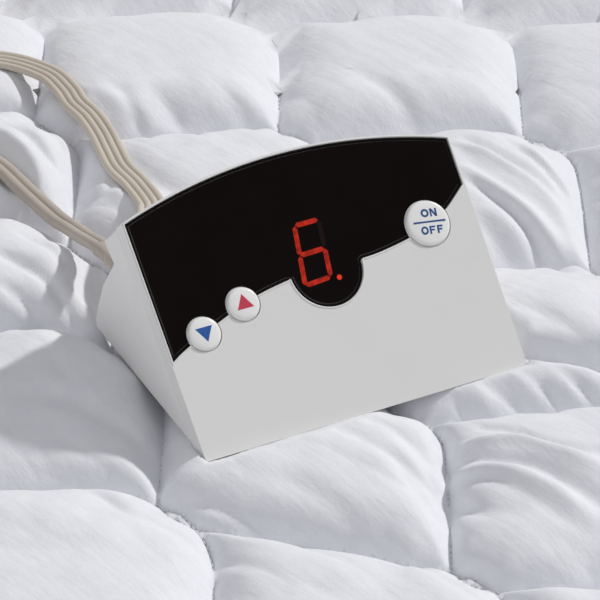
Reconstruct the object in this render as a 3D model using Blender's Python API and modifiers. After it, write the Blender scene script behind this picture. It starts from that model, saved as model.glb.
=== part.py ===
"""Heated mattress pad with its temperature controller and two leads. Metres, +Z up.

The origin is the middle of the pad's underside. +Y points to the head of the bed. The pad lies flat, the
controller sits on it, and each lead is laid out from the controller, coiled and led to its plug or connector.
"""

import math

import bmesh
import bpy
import numpy as np
from mathutils import Vector

# Pad: a twin-size quilt whose rows of cells are each shifted by one mesh column.
PAD_WIDTH = 0.991
PAD_LENGTH = 1.905
CELLS_LONG = 22
COLUMNS = 57
COLUMNS_PER_CELL = 5
ROWS_PER_CELL = 3
SEAM_PHASE = 3
CROWN = 0.0145
SHOULDER = 0.0128
SEAM = 0.0045
HEM = 0.0035
SEAM_WAVE = (0.004, -0.004, -0.002, 0.0, 0.002)

# What lies on the pad rests on REST, and the quilt under it is pressed down to just below that.
REST = 0.0125
GAP = 0.0003
LIFT = 0.0002
PRESS_REACH = 0.040

# Controller: placed by the middle of its lower front edge, and turned a little towards the left lead.
SEAT_X = 0.0555
SEAT_Y = 0.4346
TURN = math.radians(27.27)
FACE_LEAN = math.radians(44.72)
HALF_WIDTH = 0.056
HALF_WIDTH_TOP = 0.0571
FACE_SIDE = 0.0773
FACE_MIDDLE = 0.0865
COVER_DEPTH = 0.0062
WALL = 0.0025
BELOW = 0.010
ROOM_LOW = 0.006
ROOM_HIGH = 0.073
SLAB_BACK = 0.0205
WEDGE_TOP = 0.068
WEDGE_INSET = 0.0004
NOTCH = (0.0644, 0.0343)
REAR_MIDDLE = (0.0752, 0.0197)
REAR_LOW = (0.0819, 0.0036)
REAR_FOOT = (0.0814, 0.0)

# Display lens, in face coordinates: across from the middle, up from the lower edge.
LENS_INSET = 0.0007
LENS_LOW = GAP
LENS_TOP = 0.0013
LENS_LEFT = [(-0.0509, 0.0344), (-0.0377, 0.0398), (-0.0228, 0.0446), (-0.0104, 0.0467)]
LENS_RIGHT = [(0.0144, 0.0469), (0.0211, 0.0473), (0.0323, 0.0491), (0.0405, 0.0518), (0.0475, 0.0548)]
LENS_LEFT_END = 0.0318
LENS_RIGHT_END = 0.0612
BULGE_CENTRE = (0.002, 0.0470)
BULGE_RADIUS = 0.0123

# Push buttons: name, place across and up the face, radius.
BUTTONS = [
    ("down_button", -0.0432, 0.0377, 0.0053),
    ("up_button", -0.0280, 0.0433, 0.0053),
    ("on_off_button", 0.0399, 0.0520, 0.0074),
]
BUTTON_PROUD = 0.0019
BUTTON_CLEARANCE = 0.0004
FLANGE = 0.0016
FLANGE_THICKNESS = 0.0015

# Leads: width and thickness of each flat cord, and its strain relief at the back of the controller.
MAINS_CORD = (0.0076, 0.0039)
PAD_CORD = (0.0100, 0.0026)
GLAND_HEIGHT = 0.0215
GLAND_TIP = 0.087
GLAND_TAPER = 0.75
GLAND_ROOT = 0.0665
GLAND_SOFT = 0.0010
MAINS_GLAND_X = -0.046
PAD_GLAND_X = -0.024
MAINS_GLAND_SIZE = (0.0124, 0.0084)
PAD_GLAND_SIZE = (0.0140, 0.0070)

# Routes, from the seat point, with heights above REST. Each list is chosen by hand.
MAINS_ROUTE = [
    (-0.0811, 0.0569, 0.0213),
    (-0.0868, 0.0702, 0.0165),
    (-0.0915, 0.0829, 0.0110),
    (-0.0974, 0.0969, 0.0060),
    (-0.1027, 0.1065, 0.0035),
    (-0.1134, 0.1248, 0.0021),
    (-0.1245, 0.1424, 0.0021),
    (-0.1380, 0.1575, 0.0021),
    (-0.1515, 0.1690, 0.0021),
    (-0.1653, 0.1772, 0.0021),
]
MAINS_TAIL_ROUTE = [
    (-0.2000, 0.1895, 0.0121),
    (-0.2170, 0.1897, 0.0112),
    (-0.2340, 0.1862, 0.0078),
    (-0.2490, 0.1775, 0.0050),
    (-0.2600, 0.1645, 0.0046),
    (-0.2650, 0.1490, 0.0055),
    (-0.2660, 0.1350, 0.0057),
]
PAD_ROUTE = [
    (-0.0616, 0.0672, 0.0213),
    (-0.0672, 0.0785, 0.0192),
    (-0.0701, 0.0925, 0.0140),
    (-0.0711, 0.1070, 0.0090),
    (-0.0772, 0.1280, 0.0040),
    (-0.0833, 0.1417, 0.0020),
    (-0.0874, 0.1550, 0.0014),
    (-0.0907, 0.1657, 0.0014),
    (-0.0955, 0.1774, 0.0014),
    (-0.1010, 0.1865, 0.0014),
    (-0.1050, 0.1964, 0.0014),
    (-0.1130, 0.2085, 0.0014),
    (-0.1300, 0.2180, 0.0014),
    (-0.1540, 0.2185, 0.0014),
    (-0.1850, 0.2120, 0.0014),
    (-0.2150, 0.2092, 0.0014),
]
PAD_TAIL_ROUTE = [
    (-0.2807, 0.2750, 0.0155),
    (-0.2812, 0.2950, 0.0140),
    (-0.2800, 0.3180, 0.0080),
    (-0.2770, 0.3450, 0.0030),
    (-0.2730, 0.3750, 0.0020),
    (-0.2705, 0.4050, 0.0040),
    (-0.2700, 0.4330, 0.0060),
]

# Coils: place of the middle, inner and outer radius, and height of two layers of the cord on edge.
MAINS_COIL = (-0.200, 0.135, 0.0340, 0.0500, 0.0158)
PAD_COIL = (-0.215, 0.275, 0.0500, 0.0600, 0.0206)
COIL_STEPS = 48

# Mains plug, and the connector and socket at the pad's head edge: length, width, height.
PLUG_SIZE = (0.030, 0.021, 0.011)
BLADE_SIZE = (0.0170, 0.0015, 0.0064)
BLADE_SPACING = 0.0127
CONNECTOR_SIZE = (0.024, 0.036, 0.012)
SOCKET_SIZE = (0.044, 0.034, 0.014)

FAR = 0.3


def material(name, colour, roughness, metallic=0.0):
    made = bpy.data.materials.new(name)
    made.use_nodes = True
    shader = made.node_tree.nodes["Principled BSDF"]
    shader.inputs["Base Color"].default_value = (*colour, 1.0)
    shader.inputs["Roughness"].default_value = roughness
    shader.inputs["Metallic"].default_value = metallic
    return made


def collection(name):
    made = bpy.data.collections.new(name)
    bpy.context.scene.collection.children.link(made)
    return made


def add(name, mesh, group, finish=None, parent=None):
    """One object of that mesh, in the frame of its parent."""
    made = bpy.data.objects.new(name, mesh)
    if finish:
        mesh.materials.append(finish)
    group.objects.link(made)
    made.parent = parent
    return made


def cutter(made):
    made.hide_render = True
    made.display_type = "WIRE"
    return made


def combine(target, tool, operation):
    step = target.modifiers.new(f"{operation} {tool.name}", "BOOLEAN")
    step.operation = operation
    step.solver = "EXACT"
    step.object = tool


def smooth_shading(mesh, degrees=35):
    mesh.shade_smooth()
    mesh.set_sharp_from_angle(angle=math.radians(degrees))


def outline_mesh(name, points, half_thickness):
    """A closed flat outline in XY as a solid, from -half_thickness to +half_thickness in Z."""
    curve = bpy.data.curves.new(name, "CURVE")
    curve.dimensions = "2D"
    curve.fill_mode = "BOTH"
    curve.extrude = half_thickness
    spline = curve.splines.new("POLY")
    spline.points.add(len(points) - 1)
    for point, (x, y) in zip(spline.points, points):
        point.co = (x, y, 0.0, 1.0)
    spline.use_cyclic_u = True
    guide = bpy.data.objects.new(name, curve)
    bpy.context.scene.collection.objects.link(guide)
    graph = bpy.context.evaluated_depsgraph_get()
    mesh = bpy.data.meshes.new_from_object(guide.evaluated_get(graph))
    bpy.data.objects.remove(guide)
    weld(mesh)
    return mesh


def weld(mesh):
    work = bmesh.new()
    work.from_mesh(mesh)
    bmesh.ops.remove_doubles(work, verts=work.verts, dist=1e-6)
    bmesh.ops.recalc_face_normals(work, faces=work.faces)
    work.to_mesh(mesh)
    work.free()


def block_mesh(name, size, centre=(0, 0, 0)):
    work = bmesh.new()
    bmesh.ops.create_cube(work, size=1.0)
    bmesh.ops.scale(work, verts=work.verts, vec=size)
    bmesh.ops.translate(work, verts=work.verts, vec=centre)
    mesh = bpy.data.meshes.new(name)
    work.to_mesh(mesh)
    work.free()
    return mesh


def turned(name, profile, closed, steps, group, finish, parent=None):
    """A profile of (radius, height) points, running down its outer side, turned about Z."""
    count = len(profile)
    edges = [(i, i + 1) for i in range(count - 1)]
    if closed:
        edges.append((count - 1, 0))
    mesh = bpy.data.meshes.new(name)
    mesh.from_pydata([(radius, 0.0, height) for radius, height in profile], edges, [])
    made = add(name, mesh, group, finish, parent)
    screw = made.modifiers.new("turn", "SCREW")
    screw.steps = steps
    screw.render_steps = steps
    screw.use_merge_vertices = True
    screw.merge_threshold = 1e-6
    return made


def rounded(made, width, segments=2):
    bevel = made.modifiers.new("rounded", "BEVEL")
    bevel.width = width
    bevel.segments = segments
    bevel.limit_method = "ANGLE"
    bevel.angle_limit = math.radians(40)


def seat(point):
    """A route point, in the pad's frame."""
    return Vector((SEAT_X + point[0], SEAT_Y + point[1], REST + point[2]))


def smooth_route(route, spacing):
    """Points about one spacing apart on the smooth curve through the route's points."""
    knots = [seat(point) for point in route]
    knots = [2 * knots[0] - knots[1]] + knots + [2 * knots[-1] - knots[-2]]
    fine = []
    for before, start, end, after in zip(knots, knots[1:], knots[2:], knots[3:]):
        for step in range(24):
            t = step / 24
            fine.append(
                0.5 * (2 * start + (end - before) * t
                       + (2 * before - 5 * start + 4 * end - after) * t * t
                       + (3 * start - before - 3 * end + after) * t ** 3)
            )
    fine.append(knots[-2])
    reach = np.concatenate([[0.0], np.cumsum([(b - a).length for a, b in zip(fine, fine[1:])])])
    count = max(3, round(reach[-1] / spacing) + 1)
    stations = np.linspace(0.0, reach[-1], count)
    rows = [np.interp(stations, reach, [point[k] for point in fine]) for k in range(3)]
    return [Vector(point) for point in zip(*rows)]


# What rests on the pad ---------------------------------------------------------------------------

def local_to_pad(across, back):
    """A point of the controller's base, in the pad's frame."""
    return (
        SEAT_X + across * math.cos(TURN) - back * math.sin(TURN),
        SEAT_Y + across * math.sin(TURN) + back * math.cos(TURN),
    )


def resting_points():
    """Points in XY that something rests over, close enough together to find every pressed place."""
    points = []
    for across in np.linspace(-HALF_WIDTH, HALF_WIDTH, 8):
        for back in np.linspace(0.0, REAR_LOW[0], 6):
            points.append(local_to_pad(across, back))
    for route in (MAINS_ROUTE, MAINS_TAIL_ROUTE, PAD_ROUTE, PAD_TAIL_ROUTE):
        points += [tuple(point[:2]) for point in smooth_route(route, 0.015)]
    for x, y, _, radius, _ in (MAINS_COIL, PAD_COIL):
        for angle in np.linspace(0.0, math.tau, 24):
            points.append((SEAT_X + x + radius * math.cos(angle), SEAT_Y + y + radius * math.sin(angle)))
    for route, length in ((MAINS_TAIL_ROUTE, 0.05), (PAD_TAIL_ROUTE, 0.07)):
        end = seat(route[-1])
        onward = (end - seat(route[-2])).normalized()
        for distance in np.linspace(0.0, length, 5):
            points.append((end.x + distance * onward.x, end.y + distance * onward.y))
    return np.array(points)


# Pad ---------------------------------------------------------------------------------------------

def quilt_vertex(i, j):
    """Height of one grid vertex, and how far the wavy row seam moves it along Y."""
    last_row = CELLS_LONG * ROWS_PER_CELL
    if i in (0, COLUMNS) or j in (0, last_row):
        return HEM, 0.0
    row = j // ROWS_PER_CELL
    if j % ROWS_PER_CELL == 0:
        return SEAM, SEAM_WAVE[(i - SEAM_PHASE + row) % COLUMNS_PER_CELL]
    step = (i - SEAM_PHASE + row) % COLUMNS_PER_CELL
    if step == 0:
        return SEAM, 0.0
    return (SHOULDER if step in (1, COLUMNS_PER_CELL - 1) else CROWN), 0.0


def pad(group, finish):
    """One filled, quilted solid: a grid raised into cells, its edge folded down, and a flat underside."""
    rows = CELLS_LONG * ROWS_PER_CELL
    work = bmesh.new()
    bmesh.ops.create_grid(work, x_segments=COLUMNS, y_segments=rows, size=0.5)
    pressed = resting_points()
    for vertex in work.verts:
        i = round((vertex.co.x + 0.5) * COLUMNS)
        j = round((vertex.co.y + 0.5) * rows)
        height, shift = quilt_vertex(i, j)
        x = (i / COLUMNS - 0.5) * PAD_WIDTH
        y = (j / rows - 0.5) * PAD_LENGTH + shift
        if np.hypot(pressed[:, 0] - x, pressed[:, 1] - y).min() < PRESS_REACH:
            height = min(height, REST - GAP)
        vertex.co = (x, y, height)
    rim = [edge for edge in work.edges if edge.is_boundary]
    wall = bmesh.ops.extrude_edge_only(work, edges=rim)
    for vertex in (item for item in wall["geom"] if isinstance(item, bmesh.types.BMVert)):
        vertex.co.z = 0.0
    foot = [edge for edge in work.edges if edge.is_boundary]
    bmesh.ops.holes_fill(work, edges=foot, sides=0)
    bmesh.ops.recalc_face_normals(work, faces=work.faces)
    mesh = bpy.data.meshes.new("quilted_pad")
    work.to_mesh(mesh)
    work.free()
    return add("quilted_pad", mesh, group, finish)


# Controller --------------------------------------------------------------------------------------

def half_width_at(up):
    return HALF_WIDTH + (HALF_WIDTH_TOP - HALF_WIDTH) * up / FACE_SIDE


def arch(inset, steps=16):
    """The face's arched top edge from right to left, moved inwards."""
    half = HALF_WIDTH_TOP - inset
    rise = FACE_MIDDLE - FACE_SIDE
    points = []
    for k in range(steps + 1):
        across = half * (1 - 2 * k / steps)
        points.append((across, FACE_SIDE - inset + rise * (1 - (across / HALF_WIDTH_TOP) ** 2)))
    return points


def face_outline():
    """The face's edge, carried on below the base plane, where the ground cutter trims it level."""
    return [(-HALF_WIDTH, -BELOW), (HALF_WIDTH, -BELOW)] + arch(0.0)


def lens_outline():
    """The dark panel: everything above a wavy lower edge that bulges round the digit."""
    bulge = []
    for k in range(13):
        angle = math.radians(182 + 176 * k / 12)
        bulge.append((BULGE_CENTRE[0] + BULGE_RADIUS * math.cos(angle),
                      BULGE_CENTRE[1] + BULGE_RADIUS * math.sin(angle)))
    left = (LENS_INSET - half_width_at(LENS_LEFT_END), LENS_LEFT_END)
    right = (half_width_at(LENS_RIGHT_END) - LENS_INSET, LENS_RIGHT_END)
    return [left] + LENS_LEFT + bulge + LENS_RIGHT + [right] + arch(LENS_INSET)


def in_profile(up, depth):
    """A point of the side profile (back, height), from its place up the face and depth behind it."""
    return (
        up * math.cos(FACE_LEAN) + depth * math.sin(FACE_LEAN),
        up * math.sin(FACE_LEAN) - depth * math.cos(FACE_LEAN),
    )


def prism_across(name, profile, half_width, group, finish=None, parent=None):
    """A side profile (back, height) as a solid across the controller."""
    mesh = outline_mesh(name, profile, half_width)
    for vertex in mesh.vertices:
        back, height, across = vertex.co
        vertex.co = (across, back, height)
    weld(mesh)
    return add(name, mesh, group, finish, parent)


def plate(name, outline, front, back, group, finish, parent):
    """A face outline as a plate from front to back, both measured outwards from the face plane."""
    mesh = outline_mesh(name, outline, (front - back) / 2)
    for vertex in mesh.vertices:
        vertex.co.z += (front + back) / 2
    smooth_shading(mesh)
    return add(name, mesh, group, finish, parent)


def controller_frames(group):
    base = bpy.data.objects.new("controller_frame", None)
    base.location = (SEAT_X, SEAT_Y, REST)
    base.rotation_euler = (0.0, 0.0, TURN)
    face = bpy.data.objects.new("face_frame", None)
    face.rotation_euler = (FACE_LEAN, 0.0, 0.0)
    face.parent = base
    group.objects.link(base)
    group.objects.link(face)
    return base, face


def button_cutters(tools, face):
    cutters = []
    for name, across, up, radius in BUTTONS:
        mesh = bpy.data.meshes.new(f"{name}_hole")
        work = bmesh.new()
        hole = radius + BUTTON_CLEARANCE
        bmesh.ops.create_cone(
            work, cap_ends=True, segments=40, radius1=hole, radius2=hole, depth=5 * COVER_DEPTH
        )
        work.to_mesh(mesh)
        work.free()
        tool = cutter(add(f"{name}_hole", mesh, tools, parent=face))
        tool.location = (across, up, 0.0)
        cutters.append(tool)
    return cutters


def front_cover(group, tools, finish, face, holes, ground):
    made = plate("front_cover", face_outline(), 0.0, -COVER_DEPTH, group, finish, face)
    inside = HALF_WIDTH - WALL
    high = FACE_SIDE - WALL
    pocket = [(-inside, ROOM_LOW), (inside, ROOM_LOW), (inside, high), (-inside, high)]
    hollow = cutter(plate("cover_hollow", pocket, -WALL, -2 * COVER_DEPTH, tools, None, face))
    for tool in (ground, hollow, *holes):
        combine(made, tool, "DIFFERENCE")


def rear_housing(group, tools, finish, base, face, ground):
    front = COVER_DEPTH + GAP
    joined = front + WEDGE_INSET
    made = plate("rear_housing", face_outline(), -front, -SLAB_BACK, group, finish, face)
    toe = in_profile(0.0, joined)
    wedge = [
        toe,
        in_profile(WEDGE_TOP, joined),
        in_profile(WEDGE_TOP, SLAB_BACK - 2 * WALL),
        NOTCH,
        REAR_MIDDLE,
        REAR_LOW,
        REAR_FOOT,
        (REAR_FOOT[0], toe[1]),
    ]
    body = cutter(prism_across("housing_wedge", wedge, HALF_WIDTH - WEDGE_INSET, tools, None, base))
    inward = WALL + GAP
    room = [
        in_profile(ROOM_LOW, WALL),
        in_profile(ROOM_HIGH, WALL),
        in_profile(ROOM_HIGH, SLAB_BACK - WALL),
        (NOTCH[0] - inward, NOTCH[1]),
        (REAR_MIDDLE[0] - inward, REAR_MIDDLE[1]),
        (REAR_LOW[0] - WALL, REAR_LOW[1]),
        (REAR_LOW[0] - WALL, WALL),
        (in_profile(ROOM_LOW, 2 * COVER_DEPTH)[0], WALL),
    ]
    hollow = cutter(prism_across("housing_hollow", room, HALF_WIDTH - WALL, tools, None, base))
    combine(made, body, "UNION")
    combine(made, ground, "DIFFERENCE")
    combine(made, hollow, "DIFFERENCE")
    for name, across, size in (
        ("mains_gland_hole", MAINS_GLAND_X, MAINS_GLAND_SIZE),
        ("pad_gland_hole", PAD_GLAND_X, PAD_GLAND_SIZE),
    ):
        hole = (size[0] + 2 * GAP, 2 * (GLAND_TIP - GLAND_ROOT), size[1] + 2 * GAP)
        mesh = block_mesh(name, hole, (across, GLAND_TIP - WALL, GLAND_HEIGHT))
        combine(made, cutter(add(name, mesh, tools, parent=base)), "DIFFERENCE")


def display_lens(group, finish, face, holes):
    made = plate("display_lens", lens_outline(), LENS_TOP, LENS_LOW, group, finish, face)
    for tool in holes:
        combine(made, tool, "DIFFERENCE")


def push_button(name, across, up, radius, group, finish, face):
    """A cap with a rounded rim, held behind the cover by a flange. It slides along the face's normal."""
    flange_top = -WALL - GAP
    profile = [
        (0.0, BUTTON_PROUD),
        (radius - 0.0012, BUTTON_PROUD),
        (radius - 0.0005, BUTTON_PROUD - 0.0002),
        (radius, BUTTON_PROUD - 0.0009),
        (radius, flange_top),
        (radius + FLANGE, flange_top),
        (radius + FLANGE, flange_top - FLANGE_THICKNESS),
        (0.0, flange_top - FLANGE_THICKNESS),
    ]
    made = turned(name, profile, False, 32, group, finish, face)
    made.location = (across, up, 0.0)
    return made


def controller(group, tools, finishes):
    base, face = controller_frames(group)
    mesh = block_mesh("ground", (FAR, FAR, FAR), (0.0, 0.0, -FAR / 2))
    ground = cutter(add("ground", mesh, tools, parent=base))
    holes = button_cutters(tools, face)
    front_cover(group, tools, finishes["cover"], face, holes, ground)
    rear_housing(group, tools, finishes["housing"], base, face, ground)
    display_lens(group, finishes["lens"], face, holes)
    for name, across, up, radius in BUTTONS:
        push_button(name, across, up, radius, group, finishes["button"], face)
    for name, across, size in (
        ("mains_gland", MAINS_GLAND_X, MAINS_GLAND_SIZE),
        ("pad_gland", PAD_GLAND_X, PAD_GLAND_SIZE),
    ):
        length = GLAND_TIP - GLAND_ROOT
        mesh = block_mesh(name, (size[0], length, size[1]), (0.0, length / 2, 0.0))
        for vertex in mesh.vertices:
            if vertex.co.y > length / 2:
                vertex.co.x *= GLAND_TAPER
                vertex.co.z *= GLAND_TAPER
        gland = add(name, mesh, group, finishes["cord"], base)
        gland.location = (across, GLAND_ROOT, GLAND_HEIGHT)
        rounded(gland, GLAND_SOFT)


# Leads -------------------------------------------------------------------------------------------

def flat_lead(name, route, cord, group, finish):
    """A flat cord along its route, its broad side level."""
    width, thickness = cord
    curve = bpy.data.curves.new(name, "CURVE")
    curve.dimensions = "3D"
    curve.twist_mode = "Z_UP"
    curve.bevel_depth = thickness / 2
    curve.bevel_resolution = 2
    curve.extrude = (width - thickness) / 2
    curve.use_fill_caps = True
    points = smooth_route(route, 2 * width)
    spline = curve.splines.new("POLY")
    spline.points.add(len(points) - 1)
    for point, place in zip(spline.points, points):
        point.co = (*place, 1.0)
        point.tilt = math.radians(90)
    curve.materials.append(finish)
    made = bpy.data.objects.new(name, curve)
    group.objects.link(made)
    return made


def coil(name, ring, group, finish):
    """The outer shape of the coiled length: a ring that lies on the pad."""
    x, y, inner, outer, height = ring
    soft = 0.0015
    profile = [
        (outer - soft, height),
        (outer, height - soft),
        (outer, soft),
        (outer - soft, 0.0),
        (inner + soft, 0.0),
        (inner, soft),
        (inner, height - soft),
        (inner + soft, height),
    ]
    made = turned(name, profile, True, COIL_STEPS, group, finish)
    made.location = seat((x, y, LIFT))
    return made


def at_end(route):
    """The heading and the place of a route's far end, for the piece that is fitted there."""
    end = seat(route[-1])
    onward = end - seat(route[-2])
    return math.atan2(onward.y, onward.x), end


def onward_block(name, size, start, route, group, finish, soft):
    """A block that starts a given distance past a route's end and points the same way, resting on the pad."""
    heading, end = at_end(route)
    made = add(name, block_mesh(name, size, (start + size[0] / 2, 0.0, size[2] / 2)), group, finish)
    made.location = (end.x, end.y, REST + LIFT)
    made.rotation_euler = (0.0, 0.0, heading)
    rounded(made, soft)
    return made


def mains_plug(group, finishes):
    onward_block("mains_plug", PLUG_SIZE, GAP, MAINS_TAIL_ROUTE, group, finishes["plug"], 0.002)
    heading, end = at_end(MAINS_TAIL_ROUTE)
    for name, side in (("plug_blade_left", 1), ("plug_blade_right", -1)):
        middle = (2 * GAP + PLUG_SIZE[0] + BLADE_SIZE[0] / 2, side * BLADE_SPACING / 2, PLUG_SIZE[2] / 2)
        blade = add(name, block_mesh(name, BLADE_SIZE, middle), group, finishes["blade"])
        blade.location = (end.x, end.y, REST + LIFT)
        blade.rotation_euler = (0.0, 0.0, heading)


def leads(group, finishes):
    cord = finishes["cord"]
    flat_lead("mains_lead", MAINS_ROUTE, MAINS_CORD, group, cord)
    flat_lead("mains_tail", MAINS_TAIL_ROUTE, MAINS_CORD, group, cord)
    flat_lead("pad_lead", PAD_ROUTE, PAD_CORD, group, cord)
    flat_lead("pad_tail", PAD_TAIL_ROUTE, PAD_CORD, group, cord)
    coil("mains_coil", MAINS_COIL, group, cord)
    coil("pad_coil", PAD_COIL, group, cord)
    mains_plug(group, finishes)
    onward_block("lead_connector", CONNECTOR_SIZE, GAP, PAD_TAIL_ROUTE, group, finishes["plug"], 0.002)
    start = 2 * GAP + CONNECTOR_SIZE[0]
    onward_block("pad_socket", SOCKET_SIZE, start, PAD_TAIL_ROUTE, group, finishes["plug"], 0.003)


def main():
    for item in list(bpy.data.objects):
        bpy.data.objects.remove(item)
    group = collection("heated_mattress_pad")
    tools = collection("cutters")
    finishes = {
        "fabric": material("white_cotton", (0.86, 0.87, 0.92), 0.9),
        "cover": material("white_plastic", (0.78, 0.78, 0.76), 0.4),
        "housing": material("housing_plastic", (0.74, 0.74, 0.73), 0.45),
        "lens": material("black_lens", (0.012, 0.008, 0.008), 0.12),
        "button": material("button_plastic", (0.82, 0.82, 0.80), 0.35),
        "cord": material("cream_vinyl", (0.70, 0.62, 0.52), 0.5),
        "plug": material("plug_vinyl", (0.72, 0.66, 0.57), 0.5),
        "blade": material("nickel_brass", (0.72, 0.66, 0.52), 0.3, 1.0),
    }
    pad(group, finishes["fabric"])
    controller(group, tools, finishes)
    leads(group, finishes)


main()
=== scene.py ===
"""Looks of the heated mattress pad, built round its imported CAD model. Metres, +Z up.

The quilt, the temperature controller with its print, and the two leads are modelled here in detail and
ride on the CAD bodies. Places come from the named values below, and those marked so repeat the CAD source's.
"""

import math

import bmesh
import bpy
import numpy as np
from mathutils import Matrix, Vector
from mathutils.kdtree import KDTree


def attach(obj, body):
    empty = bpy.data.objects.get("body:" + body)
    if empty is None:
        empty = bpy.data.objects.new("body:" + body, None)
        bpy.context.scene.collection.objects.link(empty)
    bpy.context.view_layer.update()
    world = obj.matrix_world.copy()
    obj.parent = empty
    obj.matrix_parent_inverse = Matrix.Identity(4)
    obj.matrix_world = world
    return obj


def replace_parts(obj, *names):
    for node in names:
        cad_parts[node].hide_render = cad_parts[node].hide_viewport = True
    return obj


MM = 0.001

# Pad, as in the CAD.
PAD_WIDTH = 0.991
PAD_LENGTH = 1.905
ROWS = 22
COLUMNS = 57
CELL_COLUMNS = 5
SEAM_PHASE = 3
COLUMN = PAD_WIDTH / COLUMNS
ROW = PAD_LENGTH / ROWS
HEM = 0.0035
REST = 0.0125
GAP = 0.0003

# Controller, as in the CAD.
SEAT_X = 0.0555
SEAT_Y = 0.4346
TURN = math.radians(27.27)
FACE_LEAN = math.radians(44.72)
HALF_WIDTH = 0.056
HALF_WIDTH_TOP = 0.0571
FACE_SIDE = 0.0773
FACE_MIDDLE = 0.0865
COVER_DEPTH = 0.0062
SLAB_BACK = 0.0205
WEDGE_INSET = 0.0004
NOTCH = (0.0644, 0.0343)
REAR_MIDDLE = (0.0752, 0.0197)
REAR_LOW = (0.0819, 0.0036)
REAR_FOOT = (0.0814, 0.0)
LENS_INSET = 0.0007
LENS_LEFT = [(-0.0509, 0.0344), (-0.0377, 0.0398), (-0.0228, 0.0446), (-0.0104, 0.0467)]
LENS_RIGHT = [(0.0144, 0.0469), (0.0211, 0.0473), (0.0323, 0.0491), (0.0405, 0.0518), (0.0475, 0.0548)]
LENS_LEFT_END = 0.0318
LENS_RIGHT_END = 0.0612
BULGE_CENTRE = (0.002, 0.0470)
BULGE_RADIUS = 0.0123
BUTTONS = {
    "down": (-0.0432, 0.0377, 0.0053),
    "up": (-0.0280, 0.0433, 0.0053),
    "on_off": (0.0399, 0.0520, 0.0074),
}
BUTTON_CLEARANCE = 0.0004

# Controller, finer than in the CAD. The window and the caps lie lower here than their solids do there.
LENS_TOP = -0.0003
LENS_POCKET = -0.0016
LENS_BORDER = 0.0009
LENS_STEP = 0.0003
LIP_RISE = 0.00022
LIP_WIDTH = 0.0006
KEY_WELL = 0.0005
EDGE_ROUND = 0.0009
LOW_CORNER_ROUND = 0.0034
BUTTON_PROUD = 0.0011
BUTTON_RIM = 0.0010

# Digit: the width of its bars, its point, and its outer corners, in the face's frame.
SEGMENT = 0.0016
SEGMENT_GAP = 0.00018
POINT_CENTRE = (0.0054, 0.0432)
POINT_RADIUS = 0.00085
DIGIT_CORNERS = [(-0.0034, 0.0626), (0.0052, 0.0626), (-0.0065, 0.0434), (0.0028, 0.0440)]

# Leads and plugs, as in the CAD: width and thickness, then routes from the seat point, with heights above
# REST. Most points of the two first routes that are in view were read off the photograph and carried onto
# the pad by a camera calculation outside this script. The rest were chosen.
MAINS_CORD = (0.0076, 0.0039)
PAD_CORD = (0.0100, 0.0026)
GLAND_HEIGHT = 0.0215
GLAND_TIP = 0.087
MAINS_GLAND_X = -0.046
PAD_GLAND_X = -0.024
MAINS_ROUTE = [
    (-0.0811, 0.0569, 0.0213),
    (-0.0868, 0.0702, 0.0165),
    (-0.0915, 0.0829, 0.0110),
    (-0.0974, 0.0969, 0.0060),
    (-0.1027, 0.1065, 0.0035),
    (-0.1134, 0.1248, 0.0021),
    (-0.1245, 0.1424, 0.0021),
    (-0.1380, 0.1575, 0.0021),
    (-0.1515, 0.1690, 0.0021),
    (-0.1653, 0.1772, 0.0021),
]
MAINS_TAIL_ROUTE = [
    (-0.2000, 0.1895, 0.0121),
    (-0.2170, 0.1897, 0.0112),
    (-0.2340, 0.1862, 0.0078),
    (-0.2490, 0.1775, 0.0050),
    (-0.2600, 0.1645, 0.0046),
    (-0.2650, 0.1490, 0.0055),
    (-0.2660, 0.1350, 0.0057),
]
PAD_ROUTE = [
    (-0.0616, 0.0672, 0.0213),
    (-0.0672, 0.0785, 0.0192),
    (-0.0701, 0.0925, 0.0140),
    (-0.0711, 0.1070, 0.0090),
    (-0.0772, 0.1280, 0.0040),
    (-0.0833, 0.1417, 0.0020),
    (-0.0874, 0.1550, 0.0014),
    (-0.0907, 0.1657, 0.0014),
    (-0.0955, 0.1774, 0.0014),
    (-0.1010, 0.1865, 0.0014),
    (-0.1050, 0.1964, 0.0014),
    (-0.1130, 0.2085, 0.0014),
    (-0.1300, 0.2180, 0.0014),
    (-0.1540, 0.2185, 0.0014),
    (-0.1850, 0.2120, 0.0014),
    (-0.2150, 0.2092, 0.0014),
]
PAD_TAIL_ROUTE = [
    (-0.2807, 0.2750, 0.0155),
    (-0.2812, 0.2950, 0.0140),
    (-0.2800, 0.3180, 0.0080),
    (-0.2770, 0.3450, 0.0030),
    (-0.2730, 0.3750, 0.0020),
    (-0.2705, 0.4050, 0.0040),
    (-0.2700, 0.4330, 0.0060),
]
MAINS_COIL_CENTRE = (-0.200, 0.135)
PAD_COIL_CENTRE = (-0.215, 0.275)
PLUG_SIZE = (0.030, 0.021, 0.011)
BLADE_SIZE = (0.0170, 0.0015, 0.0064)
BLADE_SPACING = 0.0127
CONNECTOR_SIZE = (0.024, 0.036, 0.012)
SOCKET_SIZE = (0.044, 0.034, 0.014)

# Leads and plugs, finer than in the CAD: how the cords lean, roll and climb, their sleeves and ties.
MAINS_LEAN = 12
LEAN_FADE = (0.105, 0.150)
LEAD_SPACING = 0.0025
ROLL_REACH = 0.035
COIL_CLIMB = 0.30
SLEEVE_INSIDE = 0.016
SLEEVE_REACH = 0.013
SLEEVE_WALL = 0.0006
SLEEVE_GROOVE = 0.04
TIE_CORNER = 0.0022
TIE_THICKNESS = 0.0007
TIE_WIDTH = 0.009
BLADE_HOLE = 0.0012
PLUG_GAP = 0.0006

# Camera: its place from the seat point.
CAMERA_OFFSET = (-0.0216, -0.8290, 0.5913)
CAMERA_PITCH = math.radians(90 - 33.55)
CAMERA_LENS = 198.6

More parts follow.
